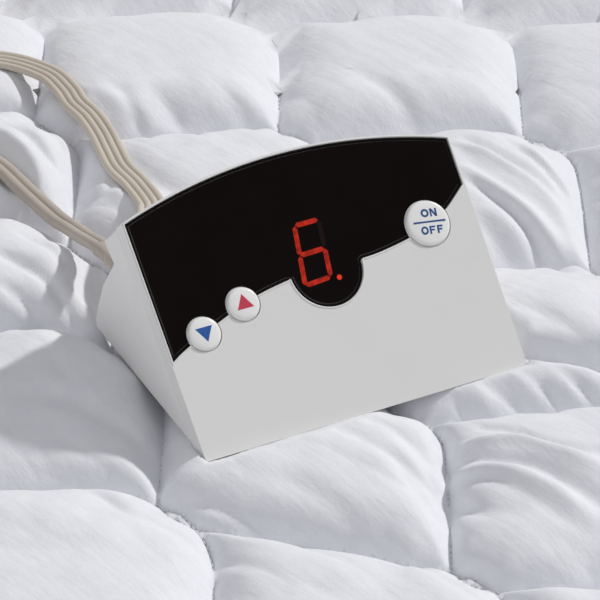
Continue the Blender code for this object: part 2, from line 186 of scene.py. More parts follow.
SEAT = Vector((SEAT_X, SEAT_Y, REST))
BASE_FRAME = Matrix.Translation(SEAT) @ Matrix.Rotation(TURN, 4, "Z")
FACE_FRAME = BASE_FRAME @ Matrix.Rotation(FACE_LEAN, 4, "X")


# Objects -----------------------------------------------------------------------------------------

def placed(name, data):
    """An object with that data, linked to the scene."""
    made = bpy.data.objects.new(name, data)
    bpy.context.scene.collection.objects.link(made)
    return made


def new_object(name, mesh, finish, body="pad", painted_edge_highlight=None):
    """A piece with that mesh, which is already in the pad's frame, riding on a CAD body.

    A second finish, whose lighter colour paints a highlight, goes on the faces that don't look the way the
    controller's face does.
    """
    mesh.materials.clear()
    mesh.materials.append(finish)
    if painted_edge_highlight:
        mesh.materials.append(painted_edge_highlight)
        outwards = FACE_FRAME.to_3x3() @ Vector((0, 0, 1))
        for polygon in mesh.polygons:
            polygon.material_index = int(abs(polygon.normal.dot(outwards)) < 0.97)
    made = placed(name, mesh)
    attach(made, body)
    return made


def arc(centre, radius, start, end, steps):
    """Points on an arc, from one angle to another in degrees."""
    angles = [math.radians(start + (end - start) * k / steps) for k in range(steps + 1)]
    return [(centre[0] + radius * math.cos(a), centre[1] + radius * math.sin(a)) for a in angles]


def mesh_of(name, points, faces, frame=None, smooth=True):
    mesh = bpy.data.meshes.new(name)
    mesh.from_pydata([tuple(p) for p in points], [], [tuple(f) for f in faces])
    if frame is not None:
        mesh.transform(frame)
    if smooth:
        mesh.shade_smooth()
    return mesh


def face_outwards(mesh):
    work = bmesh.new()
    work.from_mesh(mesh)
    bmesh.ops.remove_doubles(work, verts=work.verts, dist=1e-7)
    bmesh.ops.recalc_face_normals(work, faces=work.faces)
    work.to_mesh(mesh)
    work.free()
    return mesh


def finished(mesh, bevel=0.0, segments=3, cutters=(), sharp=40, limit="ANGLE"):
    """The mesh with its cutters taken out and its edges rounded, shaded so that flat faces stay flat."""
    guide = placed(mesh.name, mesh)
    tools = [placed("cutter", cut) for cut in cutters]
    for tool in tools:
        step = guide.modifiers.new("cut", "BOOLEAN")
        step.operation = "DIFFERENCE"
        step.solver = "EXACT"
        step.object = tool
    if bevel:
        step = guide.modifiers.new("bevel", "BEVEL")
        step.width = bevel
        step.segments = segments
        step.limit_method = limit
        step.angle_limit = math.radians(30)
    mesh.shade_smooth()
    if bevel:
        step = guide.modifiers.new("weighted", "WEIGHTED_NORMAL")
        step.keep_sharp = True
    graph = bpy.context.evaluated_depsgraph_get()
    made = bpy.data.meshes.new_from_object(guide.evaluated_get(graph))
    for item in (guide, *tools):
        bpy.data.objects.remove(item)
    if not bevel:
        made.set_sharp_from_angle(angle=math.radians(sharp))
    return made


def quads(low, high, count):
    """Faces between two closed rings of points, which start at low and at high."""
    pairs = [(i, (i + 1) % count) for i in range(count)]
    return [(low + i, low + j, high + j, high + i) for i, j in pairs]


def loft(name, rings, frame=None, caps=True):
    """A closed tube through rings of points, each ring with the same count."""
    count = len(rings[0])
    points = [point for ring in rings for point in ring]
    faces = []
    for k in range(len(rings) - 1):
        faces += quads(k * count, (k + 1) * count, count)
    if caps:
        faces.append(tuple(range(count))[::-1])
        faces.append(tuple((len(rings) - 1) * count + i for i in range(count)))
    return face_outwards(mesh_of(name, points, faces, frame))


def turned(name, profile, steps, frame):
    """A profile of (radius, height) turned about Z. It starts and ends on the axis."""
    inner = [p for p in profile if p[0] > 0]
    points = [(0.0, 0.0, profile[0][1]), (0.0, 0.0, profile[-1][1])]
    for radius, height in inner:
        points += [(x, y, height) for x, y in arc((0.0, 0.0), radius, 0, 360, steps)[:-1]]
    faces = []
    last = 2 + (len(inner) - 1) * steps
    for k in range(steps):
        n = (k + 1) % steps
        faces += [(0, 2 + n, 2 + k), (1, last + k, last + n)]
    for ring in range(len(inner) - 1):
        faces += quads(2 + ring * steps, 2 + (ring + 1) * steps, steps)
    return face_outwards(mesh_of(name, points, faces, frame))


# Smooth noise and curves -------------------------------------------------------------------------

def noise_at(u, v, seed):
    """Smooth noise from -1 to 1, the same each run."""
    i = np.floor(u)
    j = np.floor(v)
    s = u - i
    t = v - j
    s = s * s * s * (s * (6 * s - 15) + 10)
    t = t * t * t * (t * (6 * t - 15) + 10)

    def corner(a, b):
        value = np.sin(a * 127.1 + b * 311.7 + seed * 74.7) * 43758.5453
        return 2 * (value - np.floor(value)) - 1

    low = corner(i, j) * (1 - s) + corner(i + 1, j) * s
    high = corner(i, j + 1) * (1 - s) + corner(i + 1, j + 1) * s
    return low * (1 - t) + high * t


def smoothstep(low, high, value):
    t = np.clip((value - low) / (high - low), 0.0, 1.0)
    return t * t * (3 - 2 * t)


def spaced(points, spacing):
    """The polyline resampled at an even spacing."""
    points = np.asarray(points, float)
    reach = np.concatenate([[0.0], np.cumsum(np.linalg.norm(np.diff(points, axis=0), axis=1))])
    count = max(3, round(reach[-1] / spacing) + 1)
    stations = np.linspace(0.0, reach[-1], count)
    return np.stack([np.interp(stations, reach, points[:, k]) for k in range(points.shape[1])], axis=1)


def spline(knots, spacing, steps=24):
    """Evenly spaced points on the smooth curve through the knots."""
    knots = [np.asarray(k, float) for k in knots]
    knots = [2 * knots[0] - knots[1]] + knots + [2 * knots[-1] - knots[-2]]
    fine = []
    for before, start, end, after in zip(knots, knots[1:], knots[2:], knots[3:]):
        for step in range(steps):
            t = step / steps
            fine.append(
                0.5 * (2 * start + (end - before) * t
                       + (2 * before - 5 * start + 4 * end - after) * t * t
                       + (3 * start - before - 3 * end + after) * t ** 3)
            )
    fine.append(knots[-2])
    return spaced(fine, spacing)


# Materials ---------------------------------------------------------------------------------------

class Finish:
    """A Principled material and short ways to add nodes to it."""

    def __init__(self, name, roughness, metallic=0.0):
        self.material = bpy.data.materials.new(name)
        self.material.use_nodes = True
        self.nodes = self.material.node_tree.nodes
        self.links = self.material.node_tree.links
        self.shader = self.nodes["Principled BSDF"]
        self.shader.inputs["Roughness"].default_value = roughness
        self.shader.inputs["Metallic"].default_value = metallic
        self.place = self.nodes.new("ShaderNodeTexCoord").outputs["Object"]

    def node(self, kind, inputs=(), **settings):
        made = self.nodes.new(kind)
        for key, value in settings.items():
            setattr(made, key, value)
        for key, value in dict(inputs).items():
            if isinstance(value, bpy.types.NodeSocket):
                self.links.new(value, made.inputs[key])
            else:
                made.inputs[key].default_value = value
        return made

    def noise(self, scale, detail=4.0, roughness=0.55, vector=None):
        return self.node(
            "ShaderNodeTexNoise",
            {"Vector": vector or self.place, "Scale": scale, "Detail": detail, "Roughness": roughness},
        ).outputs["Fac"]

    def mix(self, factor, first, second):
        made = self.node("ShaderNodeMix", data_type="RGBA")
        self.links.new(factor, made.inputs["Factor"])
        for key, value in (("A", first), ("B", second)):
            socket = [s for s in made.inputs if s.name == key and s.type == "RGBA"][0]
            if isinstance(value, bpy.types.NodeSocket):
                self.links.new(value, socket)
            else:
                socket.default_value = (*value, 1.0)
        return [s for s in made.outputs if s.type == "RGBA"][0]

    def between(self, value, low, high, to_low, to_high):
        return self.node(
            "ShaderNodeMapRange",
            {"Value": value, "From Min": low, "From Max": high, "To Min": to_low, "To Max": to_high},
        ).outputs["Result"]

    def colour(self, first, second, scale, detail=4.0):
        """Base colour that wanders between two tones."""
        share = self.between(self.noise(scale, detail), 0.35, 0.65, 0.0, 1.0)
        self.links.new(self.mix(share, first, second), self.shader.inputs["Base Color"])

    def wear(self, low, high, scale):
        """Roughness that varies a little over the surface."""
        value = self.between(self.noise(scale, 5.0), 0.3, 0.7, low, high)
        self.links.new(value, self.shader.inputs["Roughness"])

    def bump(self, heights):
        """Relief from (height socket, depth in metres) pairs, one on another."""
        normal = None
        for height, depth in heights:
            inputs = {"Height": height, "Distance": depth, "Strength": 1.0}
            if normal:
                inputs["Normal"] = normal
            normal = self.node("ShaderNodeBump", inputs).outputs["Normal"]
        self.links.new(normal, self.shader.inputs["Normal"])


def fabric_finish(name, light, shade):
    """Matt white cotton blend: a fine plain weave, slubs and soft small rumples."""
    finish = Finish(name, 0.92)
    finish.colour(light, shade, 160.0, 6.0)
    finish.shader.inputs["Sheen Weight"].default_value = 0.25
    finish.shader.inputs["Sheen Roughness"].default_value = 0.5
    finish.shader.inputs["Specular IOR Level"].default_value = 0.2
    turned_place = finish.node(
        "ShaderNodeMapping",
        {"Vector": finish.place, "Rotation": (0.0, 0.0, math.radians(-50)), "Scale": (4.5, 1.0, 1.5)},
        vector_type="TEXTURE",
    ).outputs["Vector"]
    finish.bump([
        (finish.noise(150.0, 3.0, 0.55, turned_place), 0.00060),
        (finish.noise(70.0, 4.0, 0.55), 0.00040),
        (finish.noise(520.0, 6.0, 0.75), 0.00014),
        (finish.noise(2400.0, 3.0, 0.7), 0.00006),
    ])
    return finish.material


def plastic_finish(name, light, shade, roughness, grain=0.000015):
    """Moulded plastic: an even colour, a fine grain and slight flow marks."""
    finish = Finish(name, roughness)
    finish.colour(light, shade, 35.0, 3.0)
    finish.wear(roughness - 0.05, roughness + 0.07, 120.0)
    finish.bump([
        (finish.noise(2600.0, 3.0, 0.6), grain),
        (finish.noise(25.0, 2.0), 0.00010),
    ])
    return finish.material


def lens_finish():
    finish = Finish("smoked_lens", 0.10)
    finish.shader.inputs["Specular IOR Level"].default_value = 0.06
    finish.colour((0.0050, 0.0026, 0.0026), (0.0066, 0.0036, 0.0034), 60.0)
    finish.wear(0.07, 0.16, 300.0)
    finish.bump([(finish.noise(40.0, 2.0), 0.00004)])
    return finish.material


def glow_finish(name, colour, deep, strength):
    """A glowing display segment, a little uneven along its length. The unlit bar takes it too, as a faint
    painted glow.
    """
    finish = Finish(name, 0.35)
    share = finish.between(finish.noise(420.0, 3.0), 0.3, 0.7, 0.0, 1.0)
    mixed = finish.mix(share, colour, deep)
    finish.links.new(mixed, finish.shader.inputs["Base Color"])
    finish.links.new(mixed, finish.shader.inputs["Emission Color"])
    finish.shader.inputs["Specular IOR Level"].default_value = 0.08
    finish.shader.inputs["Emission Strength"].default_value = strength
    return finish.material


def ink_finish(name, colour, worn):
    finish = Finish(name, 0.45)
    finish.colour(colour, worn, 900.0, 5.0)
    finish.wear(0.38, 0.55, 500.0)
    return finish.material


def metal_finish(name, colour, shade):
    finish = Finish(name, 0.28, 1.0)
    finish.colour(colour, shade, 150.0, 5.0)
    finish.wear(0.20, 0.38, 400.0)
    finish.bump([(finish.noise(1800.0, 3.0), 0.000010)])
    return finish.material


# Leads -------------------------------------------------------------------------------------------

def from_seat(point):
    return (SEAT_X + point[0], SEAT_Y + point[1], REST + point[2])


def route_points(route):
    return spline([from_seat(point) for point in route], 0.001)


class Coil:
    """Two layers of flat cord on edge: the lower layer winds in, the upper layer winds out."""

    def __init__(self, centre, outer, inner, width, turns, start, clockwise):
        self.centre = centre
        self.outer = outer
        self.inner = inner
        self.low = width / 2 + GAP
        self.high = 1.5 * width + 0.0007
        self.turns = turns
        self.start = math.radians(start)
        self.sense = -1.0 if clockwise else 1.0

    def points(self, per_turn=72):
        """Points from the outside of the lower layer to the outside of the upper layer."""
        count = int(self.turns * per_turn)
        climb = COIL_CLIMB / 2 / self.turns
        made = []
        for k in range(count + 1):
            t = k / count
            turn = t * self.turns
            angle = self.start + self.sense * math.tau * turn
            inward = 1 - abs(2 * t - 1)
            radius = self.outer + (self.inner - self.outer) * inward
            height = self.low + (self.high - self.low) * smoothstep(0.5 - climb, 0.5 + climb, t)
            x = self.centre[0] + radius * math.cos(angle)
            y = self.centre[1] + radius * math.sin(angle)
            made.append(from_seat((x, y, height)))
        return np.array(made)


def join_smoothly(parts, gap):
    """Parts of a cord's line as one curve, each gap between them bridged by a smooth cubic."""
    made = [parts[0]]
    for before, after in zip(parts, parts[1:]):
        start, end = before[-1], after[0]
        out = before[-1] - before[-2]
        into = after[1] - after[0]
        span = np.linalg.norm(end - start)
        out = out / np.linalg.norm(out) * span
        into = into / np.linalg.norm(into) * span
        bridge = []
        for t in np.linspace(0, 1, max(4, int(span / gap)))[1:-1]:
            bridge.append(
                (2 * t ** 3 - 3 * t ** 2 + 1) * start + (t ** 3 - 2 * t ** 2 + t) * out
                + (3 * t ** 2 - 2 * t ** 3) * end + (t ** 3 - t ** 2) * into
            )
        made += [np.array(bridge), after]
    return np.concatenate(made)


def ribbed_section(width, thickness, ribs, groove, per_rib=7):
    """A flat cord's outline: round ribs side by side, joined by webs of the groove's thickness."""
    rib = width / ribs
    top = []
    for r in range(ribs):
        middle = -width / 2 + rib * (r + 0.5)
        for k in range(per_rib):
            angle = math.pi * (1 - (k + 0.5) / per_rib)
            across = middle + rib / 2 * math.cos(angle)
            high = thickness / 2 * math.sin(angle) ** 0.75
            inside = abs(across) < width / 2 - rib / 2
            top.append((across, max(high, groove / 2) if inside else high))
    return top + [(x, -z) for x, z in reversed(top)]


def unit(vectors):
    return vectors / np.linalg.norm(vectors, axis=1)[:, None]


def sweep(name, line, rolls, section, wide, high):
    """A section carried along a line, with its width and height at each point.

    Roll 0 keeps the cord's broad side level, and 90 degrees stands it on edge.
    """
    heading = unit(np.gradient(line, axis=0))
    level = unit(np.cross((0.0, 0.0, 1.0), heading))
    upright = np.cross(heading, level)
    cos, sin = np.cos(rolls)[:, None], np.sin(rolls)[:, None]
    across = (cos * level + sin * upright) * np.reshape(wide, (-1, 1))
    through = (cos * upright - sin * level) * np.reshape(high, (-1, 1))
    rings = [[p + x * a + z * b for x, z in section] for p, a, b in zip(line, across, through)]
    return loft(name, rings)


class Lead:
    """One flat lead: its line, how it rolls along it, and its section."""

    def __init__(self, route, coil, tail, cord, ribs, groove, lean=0.0):
        wound = coil.points()
        whole = join_smoothly([route_points(route), wound, route_points(tail)], 0.002)
        self.line = spaced(whole, LEAD_SPACING)
        self.length = float(np.linalg.norm(np.diff(self.line, axis=0), axis=1).sum())
        self.width, self.thickness = cord
        self.section = ribbed_section(self.width, self.thickness, ribs, groove)
        self.first, self.last = self.nearest(wound[0]), self.nearest(wound[-1])
        index = np.arange(len(self.line))
        turn = int(ROLL_REACH / LEAD_SPACING)
        up = smoothstep(self.first - turn, self.first + 0.3 * turn, index)
        down = 1 - smoothstep(self.last - 0.3 * turn, self.last + turn, index)
        self.lean = math.radians(lean)
        self.rolls = math.pi / 2 * np.minimum(up, down)
        self.rolls += self.lean * (1 - smoothstep(*LEAN_FADE, index * LEAD_SPACING))

    def nearest(self, place):
        return int(np.linalg.norm(self.line - place, axis=1).argmin())

    def mesh(self, name):
        return sweep(name, self.line, self.rolls, self.section, 1.0, 1.0)

    def underside(self):
        """For each flat point: x, y and the height of the cord's underside."""
        keep = np.r_[0:self.first, self.last:len(self.line)]
        flat = self.line[keep].copy()
        flat[:, 2] -= abs(np.cos(self.rolls[keep])) * self.thickness / 2
        flat[:, 2] -= 0.8 * abs(np.sin(self.rolls[keep])) * self.width / 2
        return flat


def strain_relief(name, across, lead, root_size, finish):
    """A ribbed, tapered sleeve from inside the housing out along the first of the cord."""
    root = np.array(BASE_FRAME @ Vector((across, GLAND_TIP - SLEEVE_INSIDE, GLAND_HEIGHT)))
    mouth = np.array(BASE_FRAME @ Vector((across, GLAND_TIP, GLAND_HEIGHT)))
    ahead = lead.line[: int(SLEEVE_REACH / LEAD_SPACING)]
    line = spline([root, mouth - 0.3 * (mouth - root), *ahead[1::2]], 0.0008)
    section = [(math.copysign(abs(x) ** 0.7, x), math.copysign(abs(z) ** 0.7, z))
               for x, z in arc((0.0, 0.0), 1.0, 0, 360, 28)[:-1]]
    k = np.arange(len(line))
    t = k / (len(line) - 1)
    notch = np.where((t > 0.25) & (t < 0.95) & ((k // 2) % 2 == 1), 1 - SLEEVE_GROOVE, 1.0)
    wide, high = [notch * (size / 2 * (1 - t) + (cord / 2 + SLEEVE_WALL) * t)
                  for size, cord in zip(root_size, (lead.width, lead.thickness))]
    mesh = sweep(name, line, np.full(len(line), lead.lean), section, wide, high)
    mesh.set_sharp_from_angle(angle=math.radians(50))
    return new_object(name, mesh, finish)


def strip(path, closed, start):
    """Points and faces of a flat strip along a path of (outward, up). The points are numbered from start."""
    count = len(path)
    points, faces = [], []
    for k, (r, z) in enumerate(path):
        a = path[k - 1] if closed or k else path[0]
        b = path[(k + 1) % count] if closed or k + 1 < count else path[-1]
        direction = Vector((b[0] - a[0], b[1] - a[1])).normalized()
        for lift, across in ((0, -1), (TIE_THICKNESS, -0.92), (TIE_THICKNESS, 0.92), (0, 1)):
            points.append((r + direction.y * lift, across * TIE_WIDTH / 2, z - direction.x * lift))
    for k in range(count if closed else count - 1):
        faces += quads(start + 4 * k, start + 4 * ((k + 1) % count), 4)
    if not closed:
        faces.append((start + 3, start + 2, start + 1, start))
        faces.append(tuple(start + 4 * (count - 1) + i for i in range(4)))
    return points, faces


def coil_tie(name, coil, thickness, angle, finish):
    """A soft strap round the coil, with its end pressed over itself."""
    inner = coil.inner - thickness / 2 - 0.0008
    outer = coil.outer + thickness / 2 + 0.0010
    low, high = 0.0001, coil.high + coil.low + 0.0006
    left, right, bottom, top = inner + TIE_CORNER, outer - TIE_CORNER, low + TIE_CORNER, high - TIE_CORNER
    loop = []
    for x, z, start in ((right, bottom, -90), (right, top, 0), (left, top, 90), (left, bottom, 180)):
        loop += arc((x, z), TIE_CORNER, start, start + 90, 6)
    tail = [(inner + 0.3 * (outer - inner), high + 0.0009), (outer - 1.2 * TIE_CORNER, high + 0.0009)]
    points, faces = strip(loop, True, 0)
    end_points, end_faces = strip(spaced(tail, 0.001).tolist(), False, len(points))
    middle = from_seat((*coil.centre, 0.0))
    frame = Matrix.Translation(middle) @ Matrix.Rotation(math.radians(angle), 4, "Z")
    mesh = face_outwards(mesh_of(name, points + end_points, faces + end_faces, frame))
    mesh.set_sharp_from_angle(angle=math.radians(40))
    return new_object(name, mesh, finish)


def end_frame(route):
    """The frame at a route's far end: X onwards, Z up, resting on the pad."""
    a, b = from_seat(route[-2]), from_seat(route[-1])
    heading = math.atan2(b[1] - a[1], b[0] - a[0])
    return Matrix.Translation((b[0], b[1], REST + 0.0002)) @ Matrix.Rotation(heading, 4, "Z")


def rounded_ring(middle, along, wide, high, corner, drop=0.0):
    """A rounded rectangle across a plug's length, its middle at that height less the drop."""
    corner = min(corner, wide / 2 * 0.98, high / 2 * 0.98)
    ring = []
    for sx, sz, start in ((1, 1, 0), (-1, 1, 90), (-1, -1, 180), (1, -1, 270)):
        centre = (sx * (wide / 2 - corner), middle - drop + sz * (high / 2 - corner))
        ring += [(along, y, z) for y, z in arc(centre, corner, start, start + 90, 5)]
    return ring


def moulded(name, stations, middle, frame, finish, node):
    """A moulded part from stations of (along, width, height, corner, drop), in the place of a CAD node."""
    mesh = loft(name, [rounded_ring(middle, *station) for station in stations], frame)
    mesh.set_sharp_from_angle(angle=math.radians(45))
    made = new_object(name, mesh, finish)
    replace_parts(made, node)
    return made


def sleeve_rib(along, ridge, pitch, size, groove, high, low, corner):
    """The stations of one rib of a plug's sleeve and of the groove after it."""
    return [
        (along, size, high, corner),
        (along + ridge, size + 0.0001, high, corner),
        (along + ridge + 0.0001, size - groove, low, corner - 0.0004),
        (along + pitch - 0.0001, size - groove + 0.0001, low, corner - 0.0004),
    ]


def blade(side, node, start, middle, frame, finish):
    """One flat contact blade with its tapered tip and round hole."""
    reach, thick, tall = BLADE_SIZE
    tip = [(0.0, 0.5), (reach - 0.0022, 0.5), (reach - 0.0006, 0.30), (reach, 0.12)]
    outline = [(x, -share * tall) for x, share in tip] + [(x, share * tall) for x, share in tip[::-1]]
    rings = [[(start + x - 0.0012, side * BLADE_SPACING / 2 + y, middle + z) for x, z in outline]
             for y in (-thick / 2, thick / 2)]
    hole_frame = Matrix.Translation((start + reach * 0.72, side * BLADE_SPACING / 2, middle))
    hole_frame = frame @ hole_frame @ Matrix.Rotation(math.pi / 2, 4, "X")
    profile = [(0, -0.003), (BLADE_HOLE, -0.003), (BLADE_HOLE, 0.003), (0, 0.003)]
    hole = turned("blade_hole", profile, 24, hole_frame)
    name = node.replace("plug_", "contact_")
    mesh = finished(loft(name, rings, frame), 0.00018, 2, [hole])
    made = new_object(name, mesh, finish)
    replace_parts(made, node)
    return made


def mains_plug(finishes):
    frame = end_frame(MAINS_TAIL_ROUTE)
    length, wide, high = PLUG_SIZE
    stations = [(-0.0145, 0.0086, 0.0052, 0.0024)]
    for k in range(6):
        size = 0.0090 + 0.00035 * k
        stations += sleeve_rib(-0.0140 + 0.0024 * k, 0.0014, 0.0024, size, 0.0010, size * 0.66, size * 0.56,
                               0.0026)
    stations += [
        (0.0010, 0.0120, 0.0082, 0.0030),
        (0.0040, 0.0158, 0.0098, 0.0036),
        (0.0085, 0.0182, 0.0104, 0.0040),
        (0.0130, 0.0176, 0.0098, 0.0038),
        (0.0180, 0.0184, 0.0100, 0.0036),
        (0.0225, 0.0202, 0.0108, 0.0034),
        (length - 0.0030, wide, high, 0.0030),
        (length - 0.0008, wide, high, 0.0030),
        (length, wide - 0.0014, high - 0.0014, 0.0026),
    ]
    made = [moulded("plug_body", stations, high / 2, frame, finishes["plug"], "mains_plug")]
    for side, node in ((1, "plug_blade_left"), (-1, "plug_blade_right")):
        made.append(blade(side, node, PLUG_GAP + length, high / 2, frame, finishes["blade"]))
    return made


def pad_connector(finishes):
    """The pad lead's connector, and the socket at the pad's edge that it is plugged into."""
    frame = end_frame(PAD_TAIL_ROUTE)
    length, wide, high = CONNECTOR_SIZE
    stations = [(-0.0130, 0.0112, 0.0042, 0.0018)]
    for k in range(5):
        ridge_high, groove_high = 0.0050 + 0.0003 * k, 0.0042 + 0.0003 * k
        stations += sleeve_rib(-0.0122 + 0.0026 * k, 0.0015, 0.0026, 0.0118 + 0.0008 * k, 0.0012, ridge_high,
                               groove_high, 0.0022)
    stations += [
        (0.0012, 0.0190, 0.0076, 0.0030),
        (0.0050, 0.0290, 0.0104, 0.0036),
        (0.0100, 0.0345, 0.0118, 0.0036),
        (0.0150, wide - 0.0006, high - 0.0002, 0.0030),
        (length - 0.0016, wide, high, 0.0028),
        (length - 0.0004, wide - 0.0006, high - 0.0006, 0.0026),
        (length, wide - 0.0020, high - 0.0020, 0.0020),
    ]
    connector = moulded("lead_plug", stations, high / 2, frame, finishes["plug"], "lead_connector")
    start = length + PLUG_GAP
    length, wide, high = SOCKET_SIZE
    end = start + length
    stations = [
        (start, wide - 0.0030, high - 0.0030, 0.0026),
        (start + 0.0004, wide - 0.0012, high - 0.0012, 0.0030),
        (start + 0.0016, wide, high, 0.0034),
        (start + 0.0100, wide, high, 0.0034),
        (start + 0.0104, wide - 0.0010, high - 0.0008, 0.0030),
        (start + 0.0124, wide - 0.0010, high - 0.0008, 0.0030),
        (start + 0.0128, wide - 0.0002, high - 0.0002, 0.0034),
        (end - 0.0120, wide - 0.0004, high - 0.0003, 0.0040),
        (end - 0.0050, wide - 0.0040, high - 0.0030, 0.0040, 0.0008),
        (end - 0.0010, wide - 0.0090, high - 0.0070, 0.0030, 0.0020),
        (end, wide - 0.0120, high - 0.0090, 0.0020, 0.0025),
    ]
    moulded("head_socket", stations, high / 2, frame, finishes["plug"], "pad_socket")
    return connector


def dressed(kind, lead, coil, gland_x, root_size, tie_angle, finish, tie_finish):
    """A lead's cord, strain relief and tie, in the place of the CAD's. Gives the cord and the tie."""
    cord = new_object(f"{kind}_cable", lead.mesh(f"{kind}_cable"), finish)
    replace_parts(cord, f"{kind}_lead", f"{kind}_coil", f"{kind}_tail")
    relief = strain_relief(f"{kind}_relief", gland_x, lead, root_size, finish)
    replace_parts(relief, f"{kind}_gland")
    return cord, coil_tie(f"{kind}_tie", coil, lead.thickness, tie_angle, tie_finish)


def leads(finishes):
    """Both leads with their strain reliefs, ties, plug and connector. Gives each with its coil."""
    mains_coil = Coil(MAINS_COIL_CENTRE, 0.0480, 0.0360, MAINS_CORD[0], 5.975, 75, False)
    pad_coil = Coil(PAD_COIL_CENTRE, 0.0592, 0.0508, PAD_CORD[0], 4.122, 246, True)
    mains = Lead(MAINS_ROUTE, mains_coil, MAINS_TAIL_ROUTE, MAINS_CORD, 2, 0.0008, MAINS_LEAN)
    pad = Lead(PAD_ROUTE, pad_coil, PAD_TAIL_ROUTE, PAD_CORD, 4, 0.0007)
    mains_cord, mains_tie = dressed("mains", mains, mains_coil, MAINS_GLAND_X, (0.0088, 0.0054), 215,
                                    finishes["cord"], finishes["tie"])
    pad_cord, pad_tie = dressed("pad", pad, pad_coil, PAD_GLAND_X, (0.0120, 0.0052), 20, finishes["ribbon"],
                                finishes["tie"])
    plug = mains_plug(finishes)
    connector = pad_connector(finishes)
    return (mains, mains_coil), (pad, pad_coil)


# Quilt -------------------------------------------------------------------------------------------

# Each row's seam wanders between two offsets, and turns into the seams across it on two radii.
LOW_SEAM = -0.0040
HIGH_SEAM = 0.0045
TURN_IN = 0.012
TURN_OUT = 0.024

# Heights of the cloth at a seam and in a cell's middle, and how fast it rises from one to the other.
CROWN_REACH = 0.0085
QUILT_CROWN = 0.0165
QUILT_SEAM = 0.0032

# Stitches, the hem and the folded rim, and the area round the controller that has the finer mesh.
STITCH_PITCH = 0.0026
STITCH_SIZE = 0.0007
STITCH_RISE = 0.00015
HEM_WIDTH = 0.0100
HEM_FADE = (0.0105, 0.026)
HEM_GROOVE = 0.0012
HEM_LEAST = 0.0016
RIM = 0.0026
RIM_STEPS = ((0.0013, 0.0), (0.0, 0.0004))
WINDOW = ((-0.137, 0.100), (-0.100, 0.212))

# What lies on the quilt presses it down: how far that reaches, its slope beside it, and where the plugs lie.
PRESS_REACH = 0.03
PRESS_SLOPE = 0.5
PRESS_SOFT = 0.0006
PLUG_BEDS = ((MAINS_TAIL_ROUTE, 0.050, 0.021), (PAD_TAIL_ROUTE, 0.070, 0.036))

# How far the stitching is pulled up the pad round the controller, in millimetres: for each row line, places
# across the pad from the seat point and the pull there. They bring the seams to places that were read off
# the photograph and carried onto the pad by a camera calculation outside this script.
PULLS = {
    11: ([-400, 0, 300], [0, 0, 0]),
    12: ([-400, -200, -60, 60, 300], [0, 8, 6, 3, 0]),
    13: ([-400, -200, -60, 60, 300], [0, 22, 18, 8, 0]),
    14: ([-400, -200, -115, -62, 10, 60, 300], [0, 40, 40, 34, 18, 10, 0]),
    15: ([-400, -200, -115, -80, -55, 10, 60, 300], [0, 60, 60, 54, 46, 18, 12, 0]),
    16: ([-400, -200, -115, -98, -75, -40, 10, 60, 300], [0, 50, 50, 47, 42, 28, 10, 10, 0]),
    17: ([-400, -200, -115, -100, -88, -60, 60, 300], [0, 33, 32, 20, 10, 4, 3, 0]),
    18: ([-400, -200, -120, -108, -95, -20, 50, 75, 300], [0, 18, 18, 11, 7, 7, 5, 2, 0]),
    19: ([-400, -200, -115, -60, 60, 300], [0, 8, 8, 3, 3, 0]),
    20: ([-400, 0, 300], [0, 0, 0]),
}

# Soft swells near the controller, from the seat point in millimetres: place, half widths, turn and height.
SWELLS = [
    ((-108, 66), (42, 28), 114, 6.5),
    ((-114, 148), (15, 24), 25, 5.0),
    ((-84, 116), (13, 13), 0, 3.0),
    ((-91, 131), (4, 5), 0, 2.5),
    ((-100, 14), (26, 22), 0, 3.5),
    ((-82, -31), (20, 10), -10, 3.0),
    ((72, 50), (36, 24), 0, 6.0),
    ((70, 10), (44, 12), 0, 2.5),
    ((104, 140), (22, 34), 0, 4.0),
    ((56, 122), (24, 34), 30, 2.0),
    ((48, -32), (26, 16), -20, 2.0),
    ((0, -38), (24, 30), 0, 2.0),
    ((-92, 84), (13, 12), 0, 3.0),
    ((-64, 190), (30, 14), 0, 2.0),
    ((20, 192), (34, 14), 0, 2.0),
]

